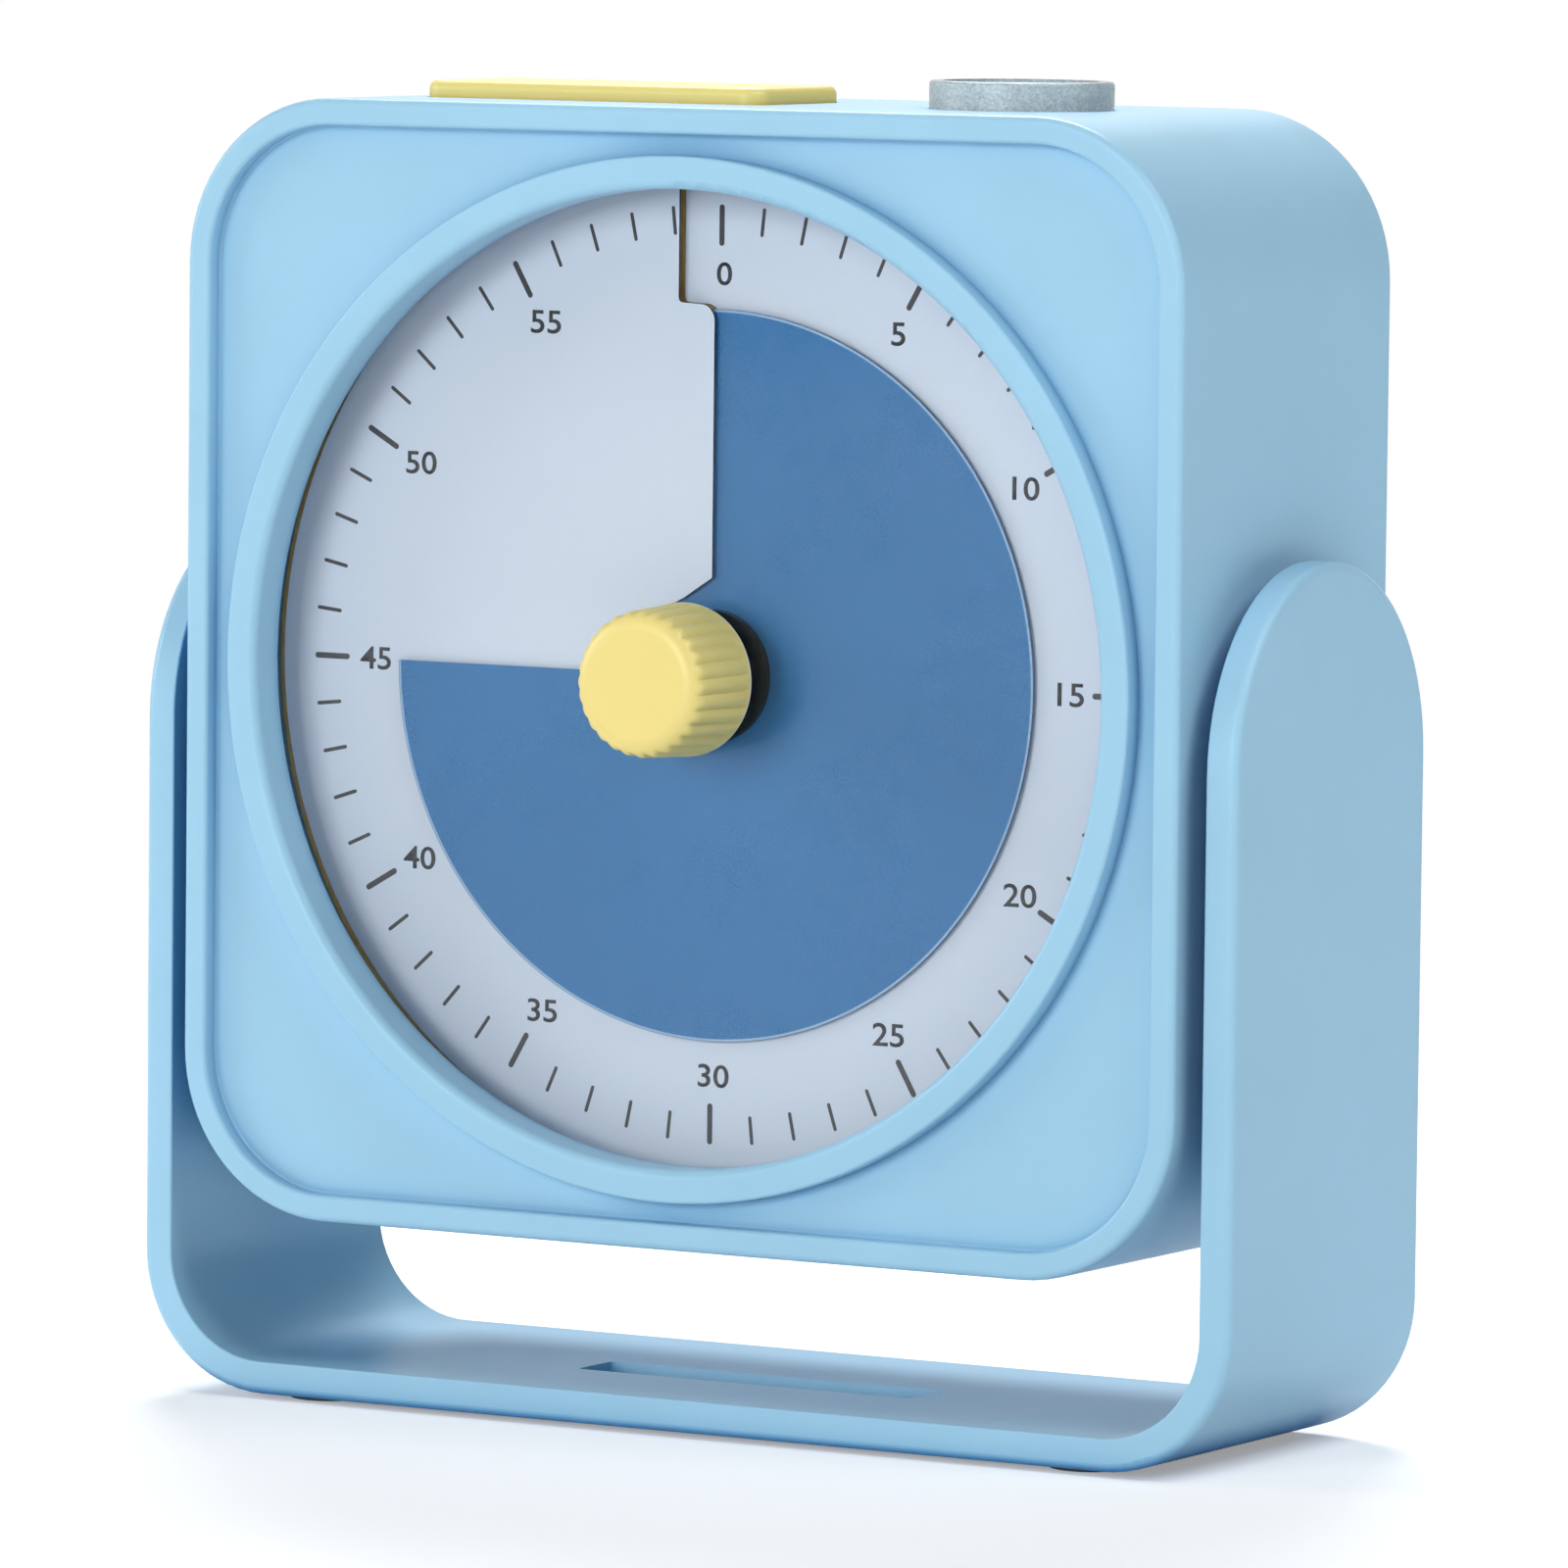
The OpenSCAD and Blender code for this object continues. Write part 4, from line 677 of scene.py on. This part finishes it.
def helicoid_tree(material, steps=TURN_STEPS, rings=9):
    """One turn of a helical sheet, front face and extruded edge."""
    labels = ("Inner radius", "Outer radius", "First angle", "Lead", "Depth", "Thickness")
    tree, graph, given = geometry_tree("Helical sheet", dict.fromkeys(labels, "NodeSocketFloat"))
    grid = graph.node("GeometryNodeMeshGrid", None, {
        "Size X": 1.0, "Size Y": 1.0, "Vertices X": steps + 1, "Vertices Y": rings})
    along, across, _ = graph.split(graph.node("GeometryNodeInputPosition"))
    turn = given["First angle"] + (along + 0.5) * (2 * math.pi)
    radius = given["Inner radius"] + (across + 0.5) * (given["Outer radius"] - given["Inner radius"])
    height = given["Lead"] * turn / (2 * math.pi) - given["Depth"]
    place = graph.node("ShaderNodeCombineXYZ", None, {
        "X": radius * turn.math("SINE"), "Y": radius * turn.math("COSINE"), "Z": height})
    front = graph.node("GeometryNodeSetPosition", None, {"Geometry": grid, "Position": place})
    down = graph.node("ShaderNodeCombineXYZ", None, {"Z": given["Thickness"] * -1})
    rear = graph.node("GeometryNodeExtrudeMesh", {"mode": "FACES"}, {
        "Mesh": front, "Offset": down, "Offset Scale": 1.0, "Individual": False})
    finish_geometry(tree, joined(graph, front, rear), material)
    return tree


def joined(graph, *parts):
    """Join Geometry node over several links."""
    made = graph.tree.nodes.new("GeometryNodeJoinGeometry")
    for part in parts:
        graph.tree.links.new(part.raw, made.inputs[0])
    return Socket(graph, made.outputs[0])


def close_sheet(mesh):
    """Welds a sheet's front to its extruded rest and turns its faces outwards."""
    built = bmesh.new()
    built.from_mesh(mesh)
    bmesh.ops.remove_doubles(built, verts=built.verts, dist=0.001 * MM)
    bmesh.ops.recalc_face_normals(built, faces=built.faces)
    built.to_mesh(mesh)
    built.free()


class TIMER_OT_dial_print(bpy.types.Operator):
    """Prints the minute marks and the numbers on the white sheet"""

    bl_idname = "timer.dial_print"
    bl_label = "Marks and numbers"

    def execute(self, context):
        dial = context.scene.timer_dial
        ink = plastic("dial_ink", context.scene.timer_colours.ink, roughness=0.6, grain=0.1 * MM,
                      grain_height=0.001 * MM)
        marks = grown(marks_tree(ink), "marks", {
            "Outer radius": dial.mark_outer,
            "Minor length": dial.minor_length, "Minor width": dial.minor_width,
            "Major length": dial.major_length, "Major width": dial.major_width})
        built = bmesh.new()
        built.from_mesh(marks)
        for five in range(12):
            number = number_mesh(str(5 * five), dial)
            turn = math.radians(30 * five)
            across, up = dial.digit_radius * math.sin(turn), dial.digit_radius * math.cos(turn)
            number.transform(Matrix.Translation((across + DIGIT_SHIFT, up, 0)))
            built.from_mesh(number)
        # Every point is laid on the sheet, and the print gets its thickness and a little root in the sheet
        front = list(built.faces)
        for vertex in built.verts:
            vertex.co.z = dial_height(dial_angle(vertex.co.x, vertex.co.y, dial.slit), dial) + dial.ink
        for face in front:
            if face.normal.z < 0:
                face.normal_flip()
        sunk = dial.sheet / 4
        skirt = bmesh.ops.extrude_face_region(built, geom=front)
        for part in skirt["geom"]:
            if isinstance(part, bmesh.types.BMVert):
                part.co.z -= dial.ink + sunk
        bmesh.ops.recalc_face_normals(built, faces=built.faces)
        mesh = bpy.data.meshes.new("dial_print")
        built.to_mesh(mesh)
        built.free()
        mesh.materials.append(ink)
        face_front(mesh)
        piece = object_of(mesh, "dial_print")
        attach(piece, "case")
        return {"FINISHED"}


def marks_tree(material):
    """Sixty round-ended marks about the origin, every fifth one longer and wider."""
    labels = ("Outer radius", "Minor length", "Major length", "Minor width", "Major width")
    tree, graph, given = geometry_tree("Minute marks", dict.fromkeys(labels, "NodeSocketFloat"))
    points = graph.node("GeometryNodeMeshLine", {"mode": "OFFSET"}, {"Count": 60, "Offset": (0, 0, 0)})
    index = graph.node("GeometryNodeInputIndex")
    fifth = index.math("MODULO", 5) < 0.5
    turn = index * (-math.pi / 30)
    facing = graph.node("ShaderNodeCombineXYZ", None, {"Z": turn})
    parts = []
    for size, chosen in (("Minor", 1 - fifth), ("Major", fifth)):
        width, length = given[size + " width"], given[size + " length"]
        outline = graph.node("GeometryNodeCurvePrimitiveQuadrilateral", {"mode": "RECTANGLE"}, {
            "Width": width, "Height": length})
        rounded = graph.node("GeometryNodeFilletCurve", {"mode": "POLY"}, {
            "Curve": outline, "Radius": width * 0.499, "Count": 5})
        flat = graph.node("GeometryNodeFillCurve", {"mode": "NGONS"}, {"Curve": rounded})
        out = graph.node("ShaderNodeCombineXYZ", None, {"Y": given["Outer radius"] - length * 0.5})
        mark = graph.node("GeometryNodeTransform", None, {"Geometry": flat, "Translation": out})
        parts.append(graph.node("GeometryNodeInstanceOnPoints", None, {
            "Points": points, "Instance": mark, "Selection": chosen, "Rotation": facing}))
    finish_geometry(tree, joined(graph, *parts), material)
    return tree


def number_mesh(text, dial):
    """Flat mesh of a number, centred, at the set height."""
    curve = bpy.data.curves.new("number", "FONT")
    curve.body = text
    curve.align_x = "CENTER"
    curve.offset = 0.011  # thickens the strokes
    curve.resolution_u = 4
    host = bpy.data.objects.new("number", curve)
    bpy.context.scene.collection.objects.link(host)
    mesh = bpy.data.meshes.new_from_object(host.evaluated_get(bpy.context.evaluated_depsgraph_get()))
    bpy.data.objects.remove(host)
    xs = [v.co.x for v in mesh.vertices]
    ys = [v.co.y for v in mesh.vertices]
    scale = dial.digit_height / (max(ys) - min(ys))
    centre = Vector(((min(xs) + max(xs)) / 2, (min(ys) + max(ys)) / 2, 0))
    widening = 1.2
    mesh.transform(Matrix.Diagonal((widening * scale, scale, scale, 1)) @ Matrix.Translation(-centre))
    return mesh


class TIMER_OT_knob(bpy.types.Operator):
    """Builds the knob with its fluted side"""

    bl_idname = "timer.knob"
    bl_label = "Knob"

    def execute(self, context):
        knob = context.scene.timer_knob
        length = KNOB_BACK - KNOB_FRONT
        # The knob gets shade painted into its flutes as a deeper yellow, and a painted highlight line along
        # its back edge
        material = plastic("knob_yellow", context.scene.timer_colours.yellow, roughness=0.4,
                           painted_shade=(0.55, 0.36, 0.08), reach=1.2 * MM, rim=KNOB_BACK)
        dish = 0.05 * MM
        bore = 3.4 * MM
        inside = 7.8 * MM
        break_edge = 0.15 * MM
        # Face with a slight dish, rounded front edge, flared side and back edge
        profile = [(0, -dish), (knob.face_radius - 0.5 * MM, -dish),
                   (knob.face_radius - 0.2 * MM, -dish * 0.6), (knob.face_radius, 0.0)]
        profile += [(knob.face_radius + (knob.front_radius - knob.face_radius) * math.sin(t),
                     -knob.rounding * (1 - math.cos(t))) for t in (math.radians(a) for a in range(6, 91, 6))]
        rows = 14
        straight = length - knob.rounding - 0.5 * MM
        for k in range(1, rows + 1):
            share = k / rows
            profile.append((knob.front_radius + (knob.back_radius - knob.front_radius) * share,
                            -knob.rounding - straight * share))
        profile += [(knob.back_radius, -length + break_edge), (knob.back_radius - break_edge, -length)]
        # Hollow back with a bored boss in its middle
        boss = bore + 2 * MM
        boss_end = -length + 0.6 * MM
        floor, bore_floor = -3 * MM, -4 * MM
        profile += [(inside + 0.2 * MM, -length), (inside, -length + 0.2 * MM), (inside, floor)]
        profile += [(boss, floor), (boss, boss_end), (bore, boss_end), (bore, bore_floor), (0, bore_floor)]
        base = lathe(profile, knob.ribs * FLUTE_STEPS, "knob_base")
        mesh = grown(flutes_tree(material), "knob_grip", {
            "Flutes": knob.ribs, "Depth": knob.rib_depth, "Start": -0.3 * knob.rounding,
            "End": -length + 0.9 * MM, "Least radius": knob.face_radius + 0.3 * MM}, base)
        mesh.transform(Matrix.Translation((0, 0, FRONT_Y - KNOB_FRONT)))
        face_front(mesh)
        piece = object_of(mesh, "knob_grip", 35)
        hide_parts("knob")
        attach(piece, "dial_knob")
        return {"FINISHED"}


def flutes_tree(material):
    """Presses round flutes into the side of a turned shape."""
    tree, graph, given = geometry_tree("Flutes", {
        "Flutes": "NodeSocketInt", "Depth": "NodeSocketFloat", "Start": "NodeSocketFloat",
        "End": "NodeSocketFloat", "Least radius": "NodeSocketFloat"})
    x, y, z = graph.split(graph.node("GeometryNodeInputPosition"))
    radius = (x * x + y * y).math("SQRT")
    turn = y.math("ARCTAN2", x)
    wave = (turn * given["Flutes"] * 0.5).math("COSINE").math("ABSOLUTE")
    scallop = 1 - wave
    # Flutes run out towards the face, at the front edge's rounding and before the back edge
    outside = graph.smooth(radius, given["Least radius"], given["Least radius"] + 0.9 * MM)
    front = 1 - graph.smooth(z, given["Start"] - 1.2 * MM, given["Start"] + 0.5 * MM)
    back = graph.smooth(z, given["End"] - 0.1 * MM, given["End"] + 0.4 * MM)
    press = scallop * given["Depth"] * outside * front * back
    inwards = graph.node("ShaderNodeCombineXYZ", None, {
        "X": press * -1 * x / radius, "Y": press * -1 * y / radius})
    moved = graph.node("GeometryNodeSetPosition", None, {"Geometry": given["Geometry"], "Offset": inwards})
    finish_geometry(tree, moved, material)
    return tree


# ---------- Studio ----------

# Place and size of each lamp, whose power is the studio setting of the same name
LAMPS = {
    "key": ((-0.35, -2.9, 0.7), 1.1),
    "front": ((1.1, -2.0, 0.55), 0.5),
    "left": ((-1.7, -0.7, 0.6), 0.8),
    "side": ((1.2, -0.2, 1.4), 1.0),
    "back": ((-0.5, 0.9, 1.3), 0.7),
}
# Distances from the object at which the floor turns from shaded to plain white
SHADED_FLOOR, PLAIN_FLOOR = 0.22, 0.55


class TIMER_OT_studio(bpy.types.Operator):
    """Places the camera, the floor and the lamps"""

    bl_idname = "timer.studio"
    bl_label = "Studio"

    def execute(self, context):
        studio = context.scene.timer_studio
        place_camera(context.scene, studio)
        floor = floor_disc()
        world = bpy.data.worlds.new("studio_world")
        context.scene.world = world
        world.use_nodes = True
        world.node_tree.nodes.clear()
        graph = Graph(world.node_tree)
        # Reflections see a white backdrop behind and on the left, and the dark studio on the right
        across, _, up = graph.split(graph.node("ShaderNodeTexCoord", output=GENERATED))
        mirrored = graph.ray(GLOSSY_RAY).math("MAXIMUM", graph.ray(TRANSMISSION_RAY))
        direct = graph.ray(DIFFUSE_DEPTH) < 0.5
        upwards = graph.smooth(up, low=0.1, high=0.6, start=0.95, end=0.3)
        backdrop = upwards * graph.smooth(across, low=-0.05, high=0.4, start=1.0, end=0.1)
        backdrop_grey = graph.node("ShaderNodeCombineColor", None, dict.fromkeys(range(3), backdrop))
        level = graph.mix(mirrored * direct, [studio.fill] * 3, backdrop_grey)
        light = graph.node("ShaderNodeBackground", None, {"Color": level, "Strength": 1.0})
        white = graph.node("ShaderNodeBackground", None, {"Color": (1, 1, 1, 1), "Strength": 1.0})
        whole = graph.node("ShaderNodeMixShader", None, {0: graph.ray(CAMERA_RAY), 1: light, 2: white})
        graph.node("ShaderNodeOutputWorld", None, {"Surface": whole})
        target = Vector((0, 0, 0.09))
        for name, (place, size) in LAMPS.items():
            area_lamp(name, place, target, getattr(studio, name), size)
        context.scene.view_settings.view_transform = "Standard"
        return {"FINISHED"}


def place_camera(scene, studio):
    """Makes the camera from the studio's place, angles and focal length."""
    level = math.cos(studio.pitch)
    forward = Vector((-math.sin(studio.yaw) * level, math.cos(studio.yaw) * level, -math.sin(studio.pitch)))
    right = forward.cross(Vector((0, 0, 1))).normalized()
    up = right.cross(forward)
    rolled_right = math.cos(studio.roll) * right + math.sin(studio.roll) * up
    rolled_up = math.cos(studio.roll) * up - math.sin(studio.roll) * right
    data = bpy.data.cameras.new("camera")
    data.lens = studio.focal
    data.sensor_width = 36
    data.clip_start = 0.05
    data.clip_end = 60
    camera = bpy.data.objects.new("camera", data)
    turn = Matrix((rolled_right, rolled_up, -forward)).transposed().to_4x4()
    camera.matrix_world = Matrix.Translation(studio.camera) @ turn
    scene.collection.objects.link(camera)
    scene.camera = camera


def floor_disc(radius=6.0):
    """Wide white floor that keeps the shadow near the object and is plain white further off."""
    built = bmesh.new()
    bmesh.ops.create_circle(built, cap_ends=True, segments=96, radius=radius)
    mesh = bpy.data.meshes.new("floor")
    built.to_mesh(mesh)
    built.free()
    material, graph, where = new_material("studio_floor")
    x, y, _ = graph.split(where)
    away = (x * x + y * y).math("SQRT")
    diffuse = graph.node("ShaderNodeBsdfDiffuse", None, {"Color": (0.86, 0.87, 0.89, 1)})
    lift = graph.node("ShaderNodeEmission", None, {"Color": (1, 1, 1, 1), "Strength": 0.31})
    lifted = graph.node("ShaderNodeAddShader", None, {0: diffuse, 1: lift})
    white = graph.node("ShaderNodeEmission", None, {"Color": (1, 1, 1, 1), "Strength": 1.0})
    far = graph.smooth(away, SHADED_FLOOR, PLAIN_FLOOR)
    camera_view = graph.node("ShaderNodeMixShader", None, {0: far, 1: lifted, 2: white})
    seen = graph.ray(CAMERA_RAY)
    show(graph, graph.node("ShaderNodeMixShader", None, {0: seen, 1: diffuse, 2: camera_view}))
    mesh.materials.append(material)
    return object_of(mesh, "floor")


def area_lamp(name, place, target, power, size):
    """Square area lamp that looks at the target."""
    data = bpy.data.lights.new(name, "AREA")
    data.shape = "SQUARE"
    data.size = size
    data.energy = power
    lamp = bpy.data.objects.new(name, data)
    aim = (target - Vector(place)).to_track_quat("-Z", "Y")
    lamp.matrix_world = Matrix.Translation(place) @ aim.to_matrix().to_4x4()
    bpy.context.scene.collection.objects.link(lamp)


# ---------- Panel and run ----------

class TIMER_PT_panel(bpy.types.Panel):
    """Lists the steps that dress the timer"""

    bl_idname = "TIMER_PT_panel"
    bl_label = "Countdown timer"
    bl_space_type = "VIEW_3D"
    bl_region_type = "UI"
    bl_category = "Timer"

    def draw(self, context):
        for step in OPERATORS:
            self.layout.operator(step.bl_idname)


SETTINGS = {"timer_dial": DialSettings, "timer_knob": KnobSettings, "timer_colours": ColourSettings,
            "timer_studio": StudioSettings}
OPERATORS = (TIMER_OT_studio, TIMER_OT_shells, TIMER_OT_clear_parts, TIMER_OT_inner_parts,
             TIMER_OT_dial_sheet, TIMER_OT_dial_print, TIMER_OT_time_sheet, TIMER_OT_knob)


def register():
    for kind in (*SETTINGS.values(), *OPERATORS, TIMER_PT_panel):
        bpy.utils.register_class(kind)
    for name, kind in SETTINGS.items():
        setattr(bpy.types.Scene, name, PointerProperty(type=kind))


def unregister():
    for name in SETTINGS:
        delattr(bpy.types.Scene, name)
    for kind in reversed((*SETTINGS.values(), *OPERATORS, TIMER_PT_panel)):
        bpy.utils.unregister_class(kind)


def main():
    register()
    for step in OPERATORS:
        group, call = step.bl_idname.split(".")
        getattr(getattr(bpy.ops, group), call)()


if __name__ == "__main__":
    main()
